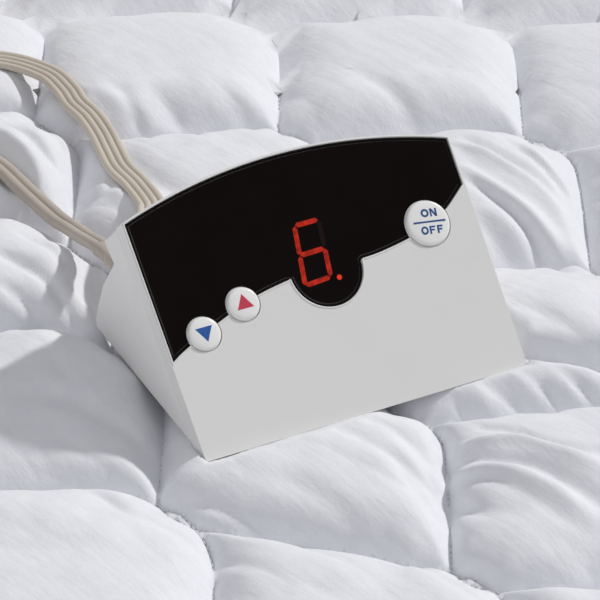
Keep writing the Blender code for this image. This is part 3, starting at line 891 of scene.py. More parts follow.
# Creases near the controller, from the seat point in millimetres: route, half widths at its ends, and height,
# which is below 0 for a trough. Most routes were not placed by hand: points of the main folds were read off
# the photograph and carried onto the pad by a camera calculation outside this script, then moved a little.
CREASES = [
    # The cell to the right: long folds that run down to its right-hand seam.
    ([(32, 158), (45, 146), (58, 131), (67, 114), (71, 98)], (2.2, 3.4), 2.0),
    ([(36, 161), (48, 147), (59, 134), (66, 123)], (2.2, 3.0), -2.4),
    ([(52, 164), (60, 152), (68, 140), (72, 127)], (1.6, 2.4), 1.6),
    ([(54, 155), (63, 142), (71, 124)], (1.6, 2.0), -1.6),
    ([(62, 151), (69, 141), (74, 132)], (1.4, 1.6), -1.2),
    ([(34, 138), (46, 122), (58, 106), (67, 92), (76, 76)], (2.2, 3.0), 2.4),
    ([(36, 129), (48, 113), (58, 97), (65, 81)], (2.0, 2.5), -2.6),
    ([(38, 141), (48, 129), (59, 116), (67, 103)], (2.6, 3.0), -1.0),
    ([(40, 113), (50, 101), (57, 89), (61, 79)], (3.0, 3.6), 1.2),
    ([(38, 107), (46, 95), (52, 84)], (2.6, 3.2), -1.2),
    # The swollen cell below it, with the dip under its front.
    ([(40, 31), (56, 29), (72, 27), (96, 26), (130, 28)], (3.0, 4.0), -8.0),
    ([(36, 80), (52, 76), (70, 66)], (2.0, 5.0), -1.2),
    # Puckers above the seam in front of the controller's right-hand corner.
    ([(25, 11), (31, 6), (38, 0)], (2.0, 1.4), -2.0),
    ([(31, 14), (38, 8), (46, 2)], (2.2, 1.6), 1.2),
    ([(36, 16), (44, 11), (51, 8), (57, 4)], (2.2, 1.5), -2.4),
    ([(43, 19), (50, 15), (59, 9)], (2.0, 1.5), 1.2),
    ([(51, 17), (57, 13), (64, 8)], (2.0, 1.4), -2.2),
    ([(57, 19), (63, 15), (69, 10)], (2.0, 1.4), 1.0),
    ([(62, 19), (68, 15), (75, 10)], (2.0, 1.4), -1.8),
    ([(74, 22), (81, 17), (88, 12)], (2.2, 1.4), -1.8),
    # The cell at the bottom right, with folds that fan out from its left-hand seam.
    ([(34, -8), (44, -13), (54, -21), (64, -24), (84, -24)], (1.6, 3.6), -2.4),
    ([(21, -14), (36, -18), (46, -20), (56, -26), (72, -39)], (1.6, 3.6), 2.4),
    ([(21, -21), (36, -26), (48, -31), (58, -40), (72, -54)], (1.6, 4.0), -2.8),
    ([(21, -27), (33, -32), (43, -37), (53, -45), (64, -56)], (1.6, 4.0), 2.4),
    ([(22, -33), (26, -41), (34, -52)], (1.4, 3.0), -2.0),
    # The cell in front of the controller.
    ([(14, -13), (19, -23), (25, -34)], (3.0, 1.4), -1.4),
    ([(9, -12), (16, -26), (24, -45)], (3.6, 1.6), -1.6),
    ([(5, -24), (13, -38), (21, -55)], (3.6, 1.6), -1.4),
    ([(-28, -36), (-14, -46), (-2, -62)], (4.0, 3.0), -1.2),
    # The swell to the left of the controller.
    ([(-114, 93), (-102, 79), (-91, 60)], (2.2, 1.6), -1.7),
    ([(-124, 80), (-108, 69), (-97, 56), (-90, 45)], (2.4, 1.6), -1.9),
    ([(-124, 66), (-110, 57), (-98, 46)], (2.2, 1.6), -1.7),
    ([(-122, 56), (-114, 51), (-105, 44)], (2.0, 1.4), -1.5),
    ([(-95, 87), (-91, 77), (-88, 66), (-86, 59)], (5.0, 4.0), -6.0),
    # The cells behind the leads.
    ([(-128, 170), (-118, 163), (-109, 150), (-104, 138)], (2.6, 1.6), -2.6),
    ([(-106, 168), (-102, 159), (-100, 146)], (1.2, 1.2), 2.4),
    ([(-95, 195), (-82, 187), (-68, 176)], (5.0, 4.0), 1.8),
    ([(-88, 198), (-80, 184), (-73, 168)], (3.4, 2.0), -2.0),
    ([(-73, 195), (-62, 180), (-56, 168)], (3.4, 2.0), -1.8),
    ([(-52, 200), (-42, 186), (-36, 172)], (4.0, 2.4), -1.4),
    ([(4, 202), (14, 190), (22, 176)], (4.0, 2.4), -1.4),
    ([(-88, 166), (-80, 150), (-72, 136), (-60, 122)], (7.0, 6.0), -4.5),
    # The cells in front on the left.
    ([(-86, -37), (-79, -43), (-73, -50)], (2.2, 1.6), -1.4),
    ([(-112, 2), (-94, 0), (-80, -6), (-66, -16)], (4.0, 3.0), -1.6),
]


def pulled(x, y):
    """The stitching's place along the pad, with the pulls round the controller."""
    lines = sorted(PULLS)
    across = (x - SEAT_X) / MM
    shifts = np.array([np.interp(across, *PULLS[line]) for line in lines]) * MM
    place = np.clip((y / PAD_LENGTH + 0.5) * ROWS - lines[0], 0.0, len(lines) - 1.0)
    low = np.minimum(place.astype(int), len(lines) - 2)
    share = place - low
    column = np.arange(len(x))
    return y + shifts[low, column] * (1 - share) + shifts[low + 1, column] * share


def seam_lines(spacing=0.0004):
    """The stitched lines as two lists of polylines: those along the rows and those across them."""
    along_rows, across_rows = [], []
    for row in range(ROWS + 1):
        base = (row / ROWS - 0.5) * PAD_LENGTH
        for i in range(-2 * CELL_COLUMNS, COLUMNS + CELL_COLUMNS):
            if (i - SEAM_PHASE + row) % CELL_COLUMNS:
                continue
            x = (i / COLUMNS - 0.5) * PAD_WIDTH
            top = [(x, base + ROW + HIGH_SEAM - TURN_OUT), (x + 0.0004, base + 0.5 * ROW),
                   (x, base + LOW_SEAM + TURN_IN)]
            turn = arc((x + TURN_IN, base + LOW_SEAM + TURN_IN), TURN_IN, 180, 270, 8)
            end = x + (CELL_COLUMNS + 1) * COLUMN - TURN_OUT
            run = []
            for t in np.linspace(0, 1, 16):
                rise = LOW_SEAM + (HIGH_SEAM - LOW_SEAM) * t * t * (3 - 2 * t)
                run.append((x + TURN_IN + (end - x - TURN_IN) * t, base + rise))
            bend = arc((end, base + HIGH_SEAM - TURN_OUT), TURN_OUT, 90, 0, 8)
            across_rows.append(spaced(top + turn[:5], spacing))
            along_rows.append(spaced(turn[4:] + run + bend[:5], spacing))
            across_rows.append(spaced(bend[4:], spacing))
    for group in (along_rows, across_rows):
        for line in group:
            line[:, 1] = pulled(line[:, 0], line[:, 1])
    return along_rows, across_rows


def within_pad(points):
    return points[(abs(points[:, 0]) < PAD_WIDTH / 2) & (abs(points[:, 1]) < PAD_LENGTH / 2)]


def near_to(points, margin, x, y):
    """Indices of the places inside the points' box, widened by a margin."""
    low, high = points.min(0) - margin, points.max(0) + margin
    return np.where((x > low[0]) & (x < high[0]) & (y > low[1]) & (y < high[1]))[0]


class Nearest:
    """Distance in plan to the nearest of a set of points, and which one it is."""

    def __init__(self, points):
        self.tree = KDTree(len(points))
        for index, point in enumerate(points):
            self.tree.insert((point[0], point[1], 0.0), index)
        self.tree.balance()

    def __call__(self, x, y):
        found = [self.tree.find((a, b, 0.0)) for a, b in zip(x.tolist(), y.tolist())]
        return np.array([hit[2] for hit in found]), np.array([hit[1] for hit in found])


def crease_relief(x, y):
    """The creases near the controller, each a soft trough or ridge that fades at its ends."""
    total = np.zeros_like(x)
    for route, (first_width, last_width), height in CREASES:
        points = spline([(SEAT_X + a * MM, SEAT_Y + b * MM) for a, b in route], 0.001)
        near = near_to(points, 0.02, x, y)
        if not len(near):
            continue
        gap = np.hypot(x[near, None] - points[:, 0], y[near, None] - points[:, 1])
        share = gap.argmin(1) / (len(points) - 1)
        fade = np.sqrt(np.clip(np.sin(math.pi * (0.04 + 0.92 * share)), 0, 1))
        width = (first_width + (last_width - first_width) * share) * MM
        total[near] += height * MM * fade * np.exp(-(gap.min(1) / width) ** 2)
    return total


def swell_relief(x, y):
    """The swells near the controller, each a soft rounded rise."""
    total = np.zeros_like(x)
    for (a, b), (half_x, half_y), turn, height in SWELLS:
        cos, sin = math.cos(math.radians(turn)), math.sin(math.radians(turn))
        dx, dy = x - SEAT_X - a * MM, y - SEAT_Y - b * MM
        along = (dx * cos + dy * sin) / (half_x * MM)
        across = (dy * cos - dx * sin) / (half_y * MM)
        total += height * MM * np.exp(-(along ** 2 + across ** 2) ** 2)
    return total


def rumples(x, y, distance):
    """Diagonal wrinkles where the stitching has drawn the cloth in, strongest beside the seams."""
    along = (x - y) / math.sqrt(2)
    across = (x + y) / math.sqrt(2)
    bend = 0.022 * noise_at(x / 0.11, y / 0.11, 3.0) + 0.004 * noise_at(x / 0.03, y / 0.03, 4.0)
    fine = 0.45 - abs(noise_at((across + bend) / 0.0130, along / 0.050, 1.0))
    broad = 0.45 - abs(noise_at((across + bend) / 0.0300, along / 0.085, 2.0))
    swell = noise_at(x / 0.045, y / 0.045, 5.0)
    reach = 0.30 + 0.70 * np.exp(-distance / 0.018)
    start = 1 - np.exp(-(distance / 0.003) ** 2)
    return start * (-reach * (0.0018 * fine + 0.0028 * broad) + 0.0007 * swell)


def from_front_edge(x, y):
    """Places in plan across and back from the middle of the controller's front edge."""
    dx, dy = x - SEAT_X, y - SEAT_Y
    return dx * math.cos(TURN) + dy * math.sin(TURN), -dx * math.sin(TURN) + dy * math.cos(TURN)


def footprint_distance(x, y):
    """Distance in plan outside the controller's base."""
    across, back = from_front_edge(x, y)
    out_x = np.maximum(abs(across) - HALF_WIDTH, 0.0)
    out_y = np.maximum(np.maximum(-back, back - REAR_LOW[0]), 0.0)
    return np.hypot(out_x, out_y)


def soft_least(a, b, soft):
    """The lesser of two heights, rounded where they cross."""
    half = np.clip(0.5 + 0.5 * (b - a) / soft, 0.0, 1.0)
    return b * (1 - half) + a * half - soft * half * (1 - half)


class QuiltSurface:
    """Height of the quilt's top at any place, with what rests on it pressed in."""

    def __init__(self, resting):
        self.lines = seam_lines()
        self.to_rows, self.to_columns = [Nearest(within_pad(np.concatenate(lines))) for lines in self.lines]
        self.resting = resting

    def seam_distance(self, x, y):
        a = np.maximum(self.to_rows(x, y)[0], 1e-5)
        b = np.maximum(self.to_columns(x, y)[0], 1e-5)
        return (a ** -3 + b ** -3) ** (-1 / 3)

    def drawn_to_seam(self, place, reach):
        """The place itself, or the nearest point of a seam that is within reach of it."""
        flat = (place.x, place.y, 0.0)
        hits = [nearest.tree.find(flat) for nearest in (self.to_rows, self.to_columns)]
        hit = min(hits, key=lambda found: found[2])
        return hit[0].xy if hit[2] < reach else place.xy

    def pressed(self, x, y, height):
        """Heights under and beside the controller, cords and coils, brought down to what they rest on."""
        bed = REST - GAP
        beside = footprint_distance(x, y)
        snug = 0.0012 * (1 + noise_at(x / 0.009, y / 0.009, 11.0)) * smoothstep(0.0002, 0.0016, beside)
        room = bed + snug + 0.0180 * (1 - np.exp(-beside / 0.012))
        before = bed + 0.62 * beside - 0.0006 * np.exp(-((beside - 0.0006) / 0.0010) ** 2)
        front = smoothstep(-0.0005, 0.0025, -from_front_edge(x, y)[1])
        height = soft_least(height, room + (np.minimum(before, room) - room) * front, 0.0004)
        for lead, coil in self.resting:
            under = lead.underside()
            flat = Nearest(under)
            near = near_to(under, PRESS_REACH, x, y)
            distance, index = flat(x[near], y[near])
            room = under[index, 2] - 0.0002 + 1.1 * np.maximum(distance - lead.width * 0.47, 0.0)
            room = np.where(distance < PRESS_REACH, room, 1.0)
            height[near] = soft_least(height[near], room, PRESS_SOFT)
            out = np.hypot(x - SEAT_X - coil.centre[0], y - SEAT_Y - coil.centre[1])
            edge = np.maximum(np.maximum(out - coil.outer - 0.002, coil.inner - 0.002 - out), 0.0)
            height = soft_least(height, bed + PRESS_SLOPE * edge, PRESS_SOFT)
        for route, length, width in PLUG_BEDS:
            start, onward = end_frame(route).translation, end_frame(route).col[0]
            dx, dy = x - start.x, y - start.y
            along = dx * onward.x + dy * onward.y
            past = np.maximum(np.maximum(-along, along - length), 0.0)
            beside = np.maximum(abs(dy * onward.x - dx * onward.y) - width / 2, 0.0)
            height = soft_least(height, bed + PRESS_SLOPE * np.hypot(past, beside), PRESS_SOFT)
        return height

    def __call__(self, x, y):
        distance = self.seam_distance(x, y)
        rise = 1 - np.exp(-distance / CROWN_REACH)
        height = QUILT_SEAM + (QUILT_CROWN - QUILT_SEAM) * rise
        height += rumples(x, y, distance) + crease_relief(x, y) * (1 - np.exp(-distance / 0.0025))
        height += swell_relief(x, y) * rise
        height = self.pressed(x, y, height)
        edge = np.minimum(PAD_WIDTH / 2 - abs(x), PAD_LENGTH / 2 - abs(y))
        hem = HEM + (height - HEM) * smoothstep(*HEM_FADE, edge)
        hem -= HEM_GROOVE * np.exp(-((edge - HEM_WIDTH) / 0.0010) ** 2)
        hem += 0.0005 * noise_at(x / 0.012, y / 0.012, 9.0) * smoothstep(0.0, 0.004, edge)
        return np.maximum(hem, HEM_LEAST)


def quilt_mesh(surface, coarse=0.0070, cuts=5):
    """The top as a grid, finer around the controller, with its edge folded down to a flat underside."""
    across = round(PAD_WIDTH / coarse)
    along = round(PAD_LENGTH / coarse)
    work = bmesh.new()
    bmesh.ops.create_grid(work, x_segments=across, y_segments=along, size=0.5)
    bmesh.ops.scale(work, verts=work.verts, vec=(PAD_WIDTH, PAD_LENGTH, 1.0))
    fine = set()
    for face in work.faces:
        middle = face.calc_center_median()
        if in_window(middle.x, middle.y):
            fine.update(face.edges)
    bmesh.ops.subdivide_edges(work, edges=list(fine), cuts=cuts, use_grid_fill=True)
    for vertex in work.verts:
        if not vertex.is_boundary:
            shortest = min(edge.calc_length() for edge in vertex.link_edges)
            vertex.co.xy = surface.drawn_to_seam(vertex.co, 0.45 * shortest)
    places = np.array([vertex.co for vertex in work.verts])
    heights = surface(places[:, 0], places[:, 1])
    for vertex, height in zip(work.verts, heights):
        vertex.co.z = height
    for vertex in work.verts:
        if vertex.is_boundary:
            vertex.co.z = RIM
    for height, inward in RIM_STEPS:
        rim = [edge for edge in work.edges if edge.is_boundary]
        wall = bmesh.ops.extrude_edge_only(work, edges=rim)
        for vertex in (item for item in wall["geom"] if isinstance(item, bmesh.types.BMVert)):
            vertex.co.x = math.copysign(min(abs(vertex.co.x), PAD_WIDTH / 2 - inward), vertex.co.x)
            vertex.co.y = math.copysign(min(abs(vertex.co.y), PAD_LENGTH / 2 - inward), vertex.co.y)
            vertex.co.z = height
    bmesh.ops.holes_fill(work, edges=[edge for edge in work.edges if edge.is_boundary], sides=0)
    bmesh.ops.recalc_face_normals(work, faces=work.faces)
    mesh = bpy.data.meshes.new("quilt")
    work.to_mesh(mesh)
    work.free()
    mesh.shade_smooth()
    mesh.set_sharp_from_angle(angle=math.radians(75))
    return mesh


def in_window(x, y):
    """Whether a place is in the finely meshed area round the controller."""
    (left, right), (front, back) = WINDOW
    return left < x - SEAT_X < right and front < y - SEAT_Y < back


def stitches_mesh(surface):
    """Short stitches end to end in the seams round the controller, each a slim pointed bead."""
    points, faces = [], []
    middles, ways = [], []
    for line in (*surface.lines[0], *surface.lines[1]):
        line = spaced(line, STITCH_PITCH)
        for a, b in zip(line, line[1:]):
            middle = (a + b) / 2
            if in_window(*middle) and footprint_distance(*middle) > 0.0015:
                middles.append(middle)
                ways.append((b - a) / np.linalg.norm(b - a))
    middles = np.array(middles)
    heights = surface(middles[:, 0], middles[:, 1])
    for (x, y), (way_x, way_y), height in zip(middles, ways, heights):
        middle = Vector((x, y, height + STITCH_RISE))
        along = Vector((way_x, way_y, 0.0)) * STITCH_PITCH * 0.49
        side = Vector((-way_y, way_x, 0.0)) * STITCH_SIZE / 2
        up = Vector((0.0, 0.0, STITCH_SIZE / 2))
        start = len(points)
        points += [middle - along - 0.6 * up, middle + along - 0.6 * up]
        for share in (-0.5, 0.5):
            points += [middle + share * 1.3 * along + turn for turn in (side, up, -side, -up)]
        for k in range(4):
            n = (k + 1) % 4
            faces += [(start, start + 2 + n, start + 2 + k), (start + 1, start + 6 + k, start + 6 + n)]
        faces += quads(start + 2, start + 6, 4)
    return face_outwards(mesh_of("stitches", points, faces))


def quilt(surface, finishes):
    made = new_object("quilt", quilt_mesh(surface), finishes["fabric"])
    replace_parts(made, "quilted_pad")
    new_object("stitches", stitches_mesh(surface), finishes["thread"])


# Controller --------------------------------------------------------------------------------------

def half_width_at(up):
    return HALF_WIDTH + (HALF_WIDTH_TOP - HALF_WIDTH) * up / FACE_SIDE


def arch_at(across):
    return FACE_SIDE + (FACE_MIDDLE - FACE_SIDE) * (1 - (across / HALF_WIDTH_TOP) ** 2)


def arch(inset, steps=48):
    """The face's arched top edge from right to left, moved inwards."""
    across = [(HALF_WIDTH_TOP - inset) * (1 - 2 * k / steps) for k in range(steps + 1)]
    return [(x, arch_at(x) - inset) for x in across]


def cover_mesh():
    """The front cover: a plate whose lower end is level with the base.

    Each edge carries how far it is to be rounded.
    """
    foot = COVER_DEPTH / math.tan(FACE_LEAN)
    rings = []
    for z, low in ((0.0, 0.0), (-COVER_DEPTH, foot)):
        outline = [(-half_width_at(low), low), (half_width_at(low), low), *arch(0.0)]
        for share in np.linspace(1, 0, 17)[1:-1]:
            up = low + (FACE_SIDE - low) * share
            outline.append((-half_width_at(up), up))
        rings.append([(x, y, z) for x, y in outline])
    mesh = loft("cover_shell", rings)
    work = bmesh.new()
    work.from_mesh(mesh)
    weight = work.edges.layers.float.new("bevel_weight_edge")
    for edge in work.edges:
        if edge.calc_face_angle(0.0) < math.radians(30):
            continue
        middle = (edge.verts[0].co + edge.verts[1].co) / 2
        size = EDGE_ROUND
        if middle.z > -1e-5 and middle.x < -0.9 * HALF_WIDTH and middle.y > 1e-5:
            size += (LOW_CORNER_ROUND - EDGE_ROUND) * (1 - smoothstep(0.0, LENS_LEFT_END, middle.y))
        edge[weight] = size / LOW_CORNER_ROUND
    work.to_mesh(mesh)
    work.free()
    mesh.transform(FACE_FRAME)
    return mesh


def lens_outline(inset):
    bulge = arc(BULGE_CENTRE, BULGE_RADIUS, 182, 358, 48)
    left = (inset - half_width_at(LENS_LEFT_END), LENS_LEFT_END)
    right = (half_width_at(LENS_RIGHT_END) - inset, LENS_RIGHT_END)
    lower_left = spline([left, *LENS_LEFT, bulge[0]], 0.0015)
    lower_right = spline([bulge[-1], *LENS_RIGHT, right], 0.0015)
    return [*map(tuple, lower_left[:-1]), *bulge, *map(tuple, lower_right[1:]), *arch(inset)]


def moved_in(outline, by):
    """A closed outline moved inwards, keeping its point count."""
    points = np.array(outline)
    before = points - np.roll(points, 1, axis=0)
    after = np.roll(points, -1, axis=0) - points
    before /= np.linalg.norm(before, axis=1)[:, None]
    after /= np.linalg.norm(after, axis=1)[:, None]
    normal_a = np.stack([-before[:, 1], before[:, 0]], axis=1)
    normal_b = np.stack([-after[:, 1], after[:, 0]], axis=1)
    middle = normal_a + normal_b
    scale = by / np.maximum((middle * normal_a).sum(1), 0.6)
    return [tuple(p) for p in points + middle * scale[:, None]]


def button_frame(name):
    return FACE_FRAME @ Matrix.Translation((*BUTTONS[name][:2], 0.0))


def button_holes(grow):
    """What is cut out round each button."""
    made = []
    for name, (_, _, radius) in BUTTONS.items():
        size = radius + grow
        profile = [(0, -0.03), (size, -0.03), (size, 0.03), (0, 0.03)]
        made.append(turned("hole", profile, 96, button_frame(name)))
    return made


def outline_loft(name, outline, levels, caps=True):
    """A loft in the face's frame from one outline, moved in by a distance at each level."""
    rings = [[(x, y, z) for x, y in moved_in(outline, inset)] for z, inset in levels]
    return loft(name, rings, FACE_FRAME, caps)


def lens_mesh():
    """The display window, set into the cover: a thin border, a narrow step and a flat."""
    low = LENS_TOP - LENS_STEP
    levels = ((LENS_POCKET + 0.0001, 0.0), (low - LENS_STEP, 0.0), (low, LENS_STEP), (low, LENS_BORDER),
              (LENS_TOP, LENS_BORDER + LENS_STEP))
    mesh = outline_loft("display_window", lens_outline(LENS_INSET + 0.0001), levels)
    mesh.shade_flat()
    return mesh


def window_lip():
    """A slim rounded bead on the cover all round the window."""
    profile = [(-LIP_RISE, 0.0)]
    for cos, sin in arc((0.0, 0.0), 1.0, 0, 180, 6):
        profile.append((LIP_RISE * sin, LIP_WIDTH / 2 * (cos - 1)))
    profile += [(-LIP_RISE, -LIP_WIDTH), profile[0]]
    return outline_loft("window_lip", lens_outline(LENS_INSET + 0.0001), profile, caps=False)


def lens_pocket():
    """What is cut out of the cover for the window."""
    return outline_loft("pocket", lens_outline(LENS_INSET), ((LENS_POCKET, 0.0), (0.01, 0.0)))


def in_profile(up, depth):
    return (
        up * math.cos(FACE_LEAN) + depth * math.sin(FACE_LEAN),
        up * math.sin(FACE_LEAN) - depth * math.cos(FACE_LEAN),
    )


def housing_mesh(steps=48):
    """The rear housing: its side profile carried across, its top following the arch."""
    front = COVER_DEPTH + GAP
    toe = in_profile(front / math.tan(FACE_LEAN), front)
    rings = []
    for k in range(steps + 1):
        share = 1 - 2 * k / steps
        top = arch_at(share * HALF_WIDTH_TOP)
        profile = [
            (toe, HALF_WIDTH),
            (in_profile(top, front), HALF_WIDTH_TOP),
            (in_profile(top, SLAB_BACK), HALF_WIDTH_TOP),
            (NOTCH, HALF_WIDTH + 0.0002),
            (REAR_MIDDLE, HALF_WIDTH - WEDGE_INSET),
            (REAR_LOW, HALF_WIDTH - WEDGE_INSET),
            (REAR_FOOT, HALF_WIDTH - WEDGE_INSET),
        ]
        rings.append([(share * half, back, height) for (back, height), half in profile])
    return loft("housing_shell", rings, BASE_FRAME)


def button_mesh(name):
    """A cap with a soft rounded rim and a faintly crowned top."""
    radius = BUTTONS[name][2]
    top, rim = BUTTON_PROUD, BUTTON_RIM
    profile = [(0.0, top), (radius * 0.40, top - 0.00002), (radius * 0.70, top - 0.00009),
               (radius - rim, top - 0.00022)]
    profile += arc((radius - rim, top - 0.00024 - rim), rim, 84, 0, 10)[1:]
    skirt = radius + BUTTON_CLEARANCE - 0.0001
    profile += [(radius, -0.0004), (skirt, -0.0006), (skirt, -0.0028), (0.0, -0.0028)]
    mesh = turned(f"{name}_cap", profile, 96, button_frame(name))
    mesh.set_sharp_from_angle(angle=math.radians(50))
    return mesh


def printed(name, outlines, lift, frame, finish, body, thickness=0.00004):
    """Flat print: closed outlines as very thin raised ink."""
    points, faces = [], []
    for outline in outlines:
        count = len(outline)
        start = len(points)
        for z in (lift, lift + thickness):
            points += [(x, y, z) for x, y in outline]
        faces.append(tuple(start + i for i in range(count))[::-1])
        faces.append(tuple(start + count + i for i in range(count)))
        faces += quads(start, start + count, count)
    mesh = mesh_of(name, points, faces, frame, smooth=False)
    return new_object(name, mesh, finish, body)


def box(left, right, low, high):
    return [(left, low), (right, low), (right, high), (left, high)]


def letter_strokes(letter):
    """Closed outlines of one wide capital in a box 1 wide and 1 high, as bars and curved pieces."""
    if letter == "O":
        outer = arc((0.5, 0.5), 0.52, 0, 360, 32)
        inner = arc((0.5, 0.5), 0.26, 0, 360, 32)
        return [[outer[k], outer[k + 1], inner[k + 1], inner[k]] for k in range(32)]
    if letter == "N":
        slant = [(0.05, 1), (0.33, 1), (0.95, 0), (0.67, 0)]
        return [box(0.05, 0.28, 0, 1), box(0.72, 0.95, 0, 1), slant]
    return [box(0.10, 0.36, 0, 1), box(0.36, 0.92, 0.77, 1), box(0.36, 0.82, 0.40, 0.61)]


def word_outlines(word, left, low, width, height, spacing):
    outlines = []
    for index, letter in enumerate(word):
        start = left + index * (width + spacing)
        for stroke in letter_strokes(letter):
            outlines.append([(start + x * width, low + y * height) for x, y in stroke])
    return outlines


def button_print(finishes):
    """The arrows, and ON over OFF with a rule between them."""
    lift = BUTTON_PROUD - 0.00004
    for name, flip, finish in (("down", -1, "blue"), ("up", 1, "red")):
        triangle = [(-0.0028, -0.0018 * flip), (0.0028, -0.0018 * flip), (0.0, 0.0029 * flip)][::flip]
        frame = button_frame(name) @ Matrix.Translation((0.0, 0.0001, 0.0))
        printed(f"{name}_arrow", [triangle], lift, frame, finishes[finish], f"{name}_key")
    frame = button_frame("on_off") @ Matrix.Rotation(math.radians(-8.0), 4, "Z")
    outlines = word_outlines("ON", -0.0021, 0.0018, 0.0026, 0.0026, 0.0003)
    outlines += word_outlines("OFF", -0.0031, -0.0038, 0.0024, 0.0026, 0.0002)
    outlines.append(box(-0.0052, 0.0057, -0.0001, 0.0005))
    printed("on_off_print", outlines, lift, frame, finishes["navy"], "on_off_key")


def bar(start, end):
    """A display bar with pointed ends, between two corners of the digit."""
    along = (end - start) / np.linalg.norm(end - start)
    side = np.array((-along[1], along[0])) * SEGMENT / 2
    a, b = start + along * SEGMENT_GAP, end - along * SEGMENT_GAP
    tip = along * SEGMENT / 2
    return [tuple(p) for p in (a, a + tip - side, b - tip - side, b, b - tip + side, a + tip + side)]


def display_digit(finishes):
    """A lit seven-bar 6 and its point, with the one unlit bar just visible through a faint painted glow."""
    top_left, top_right, low_left, low_right = np.array(DIGIT_CORNERS)
    inset = 0.0001
    middle_left, middle_right = (top_left + low_left) / 2, (top_right + low_right) / 2
    down = (low_left - top_left) / np.linalg.norm(low_left - top_left)
    right = (top_right - top_left) / np.linalg.norm(top_right - top_left)
    top_left, top_right = top_left + (down + right) * inset, top_right + (down - right) * inset
    low_left, low_right = low_left + (right - down) * inset, low_right + (-right - down) * inset
    middle_left, middle_right = middle_left + right * inset, middle_right - right * inset
    pairs = ((top_left, top_right), (middle_left, top_left), (middle_left, middle_right),
             (low_left, middle_left), (low_right, middle_right), (low_left, low_right))
    bars = [bar(a, b) for a, b in pairs]
    unlit = [bar(middle_right, top_right)]
    point = [arc(POINT_CENTRE, POINT_RADIUS, 0, 360, 24)[:-1]]
    printed("digit_bars", bars, LENS_TOP, FACE_FRAME, finishes["glow"], "pad")
    # The unlit bar is not lit, but it is given a faint painted glow.
    printed("unlit_bar", unlit, LENS_TOP, FACE_FRAME, finishes["unlit"], "pad", 0.00003)
    printed("digit_point", point, LENS_TOP, FACE_FRAME, finishes["point"], "pad")


def controller(finishes):
    holes = button_holes(BUTTON_CLEARANCE)
    plate = finished(cover_mesh(), LOW_CORNER_ROUND, 5, limit="WEIGHT")
    shells = (
        ("cover_shell", finished(plate, 0.00035, 3, [lens_pocket(), *holes]), "cover", "front_cover"),
        ("housing_shell", finished(housing_mesh(), EDGE_ROUND, 4), "housing", "rear_housing"),
    )
    for name, mesh, part, node in shells:
        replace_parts(new_object(name, mesh, finishes[part]), node)
    window = finished(lens_mesh(), cutters=button_holes(KEY_WELL), sharp=8)
    # The window's bevels and walls take a lighter, glossier finish. The lighter colour is a painted
    # highlight; the gloss really reflects the lights.
    lens = new_object("display_window", window, finishes["lens"], painted_edge_highlight=finishes["lens_edge_painted_highlight"])
    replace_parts(lens, "display_lens")
    new_object("window_lip", finished(window_lip(), cutters=holes, sharp=60), finishes["cover"])
    for name in BUTTONS:
        made = new_object(f"{name}_cap", button_mesh(name), finishes["button"], f"{name}_key")
        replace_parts(made, f"{name}_button")
    button_print(finishes)
    display_digit(finishes)


# Setting -----------------------------------------------------------------------------------------

def camera():
    data = bpy.data.cameras.new("camera")
    data.lens = CAMERA_LENS
    data.sensor_width = 36.0
    data.clip_start = 0.05
    data.clip_end = 50.0
    made = placed("camera", data)
    made.location = SEAT + Vector(CAMERA_OFFSET)
    made.rotation_euler = (CAMERA_PITCH, 0.0, 0.0)
    bpy.context.scene.camera = made


def lights():
    world = bpy.data.worlds.new("studio")
    world.use_nodes = True
    sky = world.node_tree.nodes["Background"]
    sky.inputs["Color"].default_value = (0.95, 0.96, 1.0, 1.0)
    sky.inputs["Strength"].default_value = 0.41
    bpy.context.scene.world = world
    for name, energy, spread, towards in (("key", 2.2, 3.5, (0.644, 0.435, 0.629)),
                                          ("fill", 0.34, 60.0, (-0.75, -0.60, 0.40))):
        sun = bpy.data.lights.new(name, "SUN")
        sun.energy = energy
        sun.angle = math.radians(spread)
        sun.color = (1.0, 0.985, 0.965)
        placed(name, sun).rotation_euler = Vector(towards).to_track_quat("Z", "Y").to_euler()
    bpy.context.scene.view_settings.view_transform = "Standard"


def floor():
    finish = Finish("floor", 0.7)
    finish.colour((0.80, 0.80, 0.80), (0.78, 0.78, 0.78), 3.0)
    corners = [(x, y, -0.0004) for x, y in box(-6.0, 6.0, -6.0, 6.0)]
    mesh = mesh_of("floor", corners, [(0, 1, 2, 3)], smooth=False)
    mesh.materials.append(finish.material)
    placed("floor", mesh)


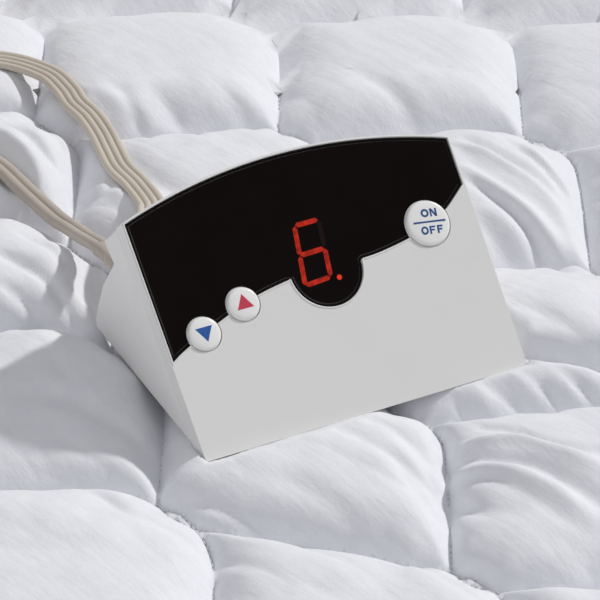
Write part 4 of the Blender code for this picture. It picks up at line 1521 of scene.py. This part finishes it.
def finishes_by_name():
    """Every material of the part, under the name that the pieces ask for."""
    return {
        "fabric": fabric_finish("quilted_cotton", (0.84, 0.85, 0.885), (0.81, 0.82, 0.865)),
        "thread": ink_finish("white_thread", (0.86, 0.87, 0.90), (0.80, 0.81, 0.85)),
        "cover": plastic_finish("cover_plastic", (0.80, 0.795, 0.78), (0.785, 0.78, 0.765), 0.38),
        "housing": plastic_finish("housing_plastic", (0.85, 0.835, 0.82), (0.83, 0.82, 0.80), 0.45, 0.00003),
        "button": plastic_finish("button_plastic", (0.92, 0.92, 0.905), (0.90, 0.90, 0.885), 0.20),
        "cord": plastic_finish("mains_vinyl", (0.52, 0.46, 0.40), (0.46, 0.405, 0.35), 0.45),
        "ribbon": plastic_finish("ribbon_vinyl", (0.66, 0.59, 0.50), (0.60, 0.53, 0.45), 0.42),
        "tie": fabric_finish("tie_webbing", (0.50, 0.48, 0.45), (0.42, 0.40, 0.38)),
        "plug": plastic_finish("plug_vinyl", (0.68, 0.61, 0.52), (0.63, 0.56, 0.47), 0.48),
        "blade": metal_finish("nickel_brass", (0.78, 0.74, 0.66), (0.66, 0.61, 0.50)),
        "lens": lens_finish(),
        # Lighter than the window itself: a painted highlight on its bevels, along with real gloss.
        "lens_edge_painted_highlight": plastic_finish("polished_edge_painted_highlight", (0.030, 0.027, 0.026), (0.018, 0.016, 0.016), 0.20),
        "glow": glow_finish("lit_red", (0.36, 0.018, 0.008), (0.13, 0.007, 0.004), 0.75),
        "point": glow_finish("lit_point", (0.58, 0.035, 0.014), (0.48, 0.025, 0.010), 0.65),
        # A faint painted glow on the unlit bar.
        "unlit": glow_finish("unlit_red_painted_glow", (0.012, 0.005, 0.005), (0.010, 0.004, 0.004), 0.1),
        "navy": ink_finish("navy_ink", (0.010, 0.070, 0.240), (0.014, 0.080, 0.265)),
        "blue": ink_finish("blue_ink", (0.005, 0.085, 0.34), (0.009, 0.100, 0.38)),
        "red": ink_finish("red_ink", (0.56, 0.030, 0.070), (0.62, 0.045, 0.090)),
    }


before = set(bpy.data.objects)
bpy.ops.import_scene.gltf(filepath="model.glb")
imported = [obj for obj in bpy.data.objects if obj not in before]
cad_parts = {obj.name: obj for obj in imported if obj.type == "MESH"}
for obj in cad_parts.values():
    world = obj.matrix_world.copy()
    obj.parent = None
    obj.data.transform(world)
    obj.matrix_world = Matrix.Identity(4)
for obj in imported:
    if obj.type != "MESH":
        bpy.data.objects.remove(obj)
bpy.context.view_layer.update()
camera()
FINISHES = finishes_by_name()
quilt(QuiltSurface(leads(FINISHES)), FINISHES)
controller(FINISHES)
floor()
lights()
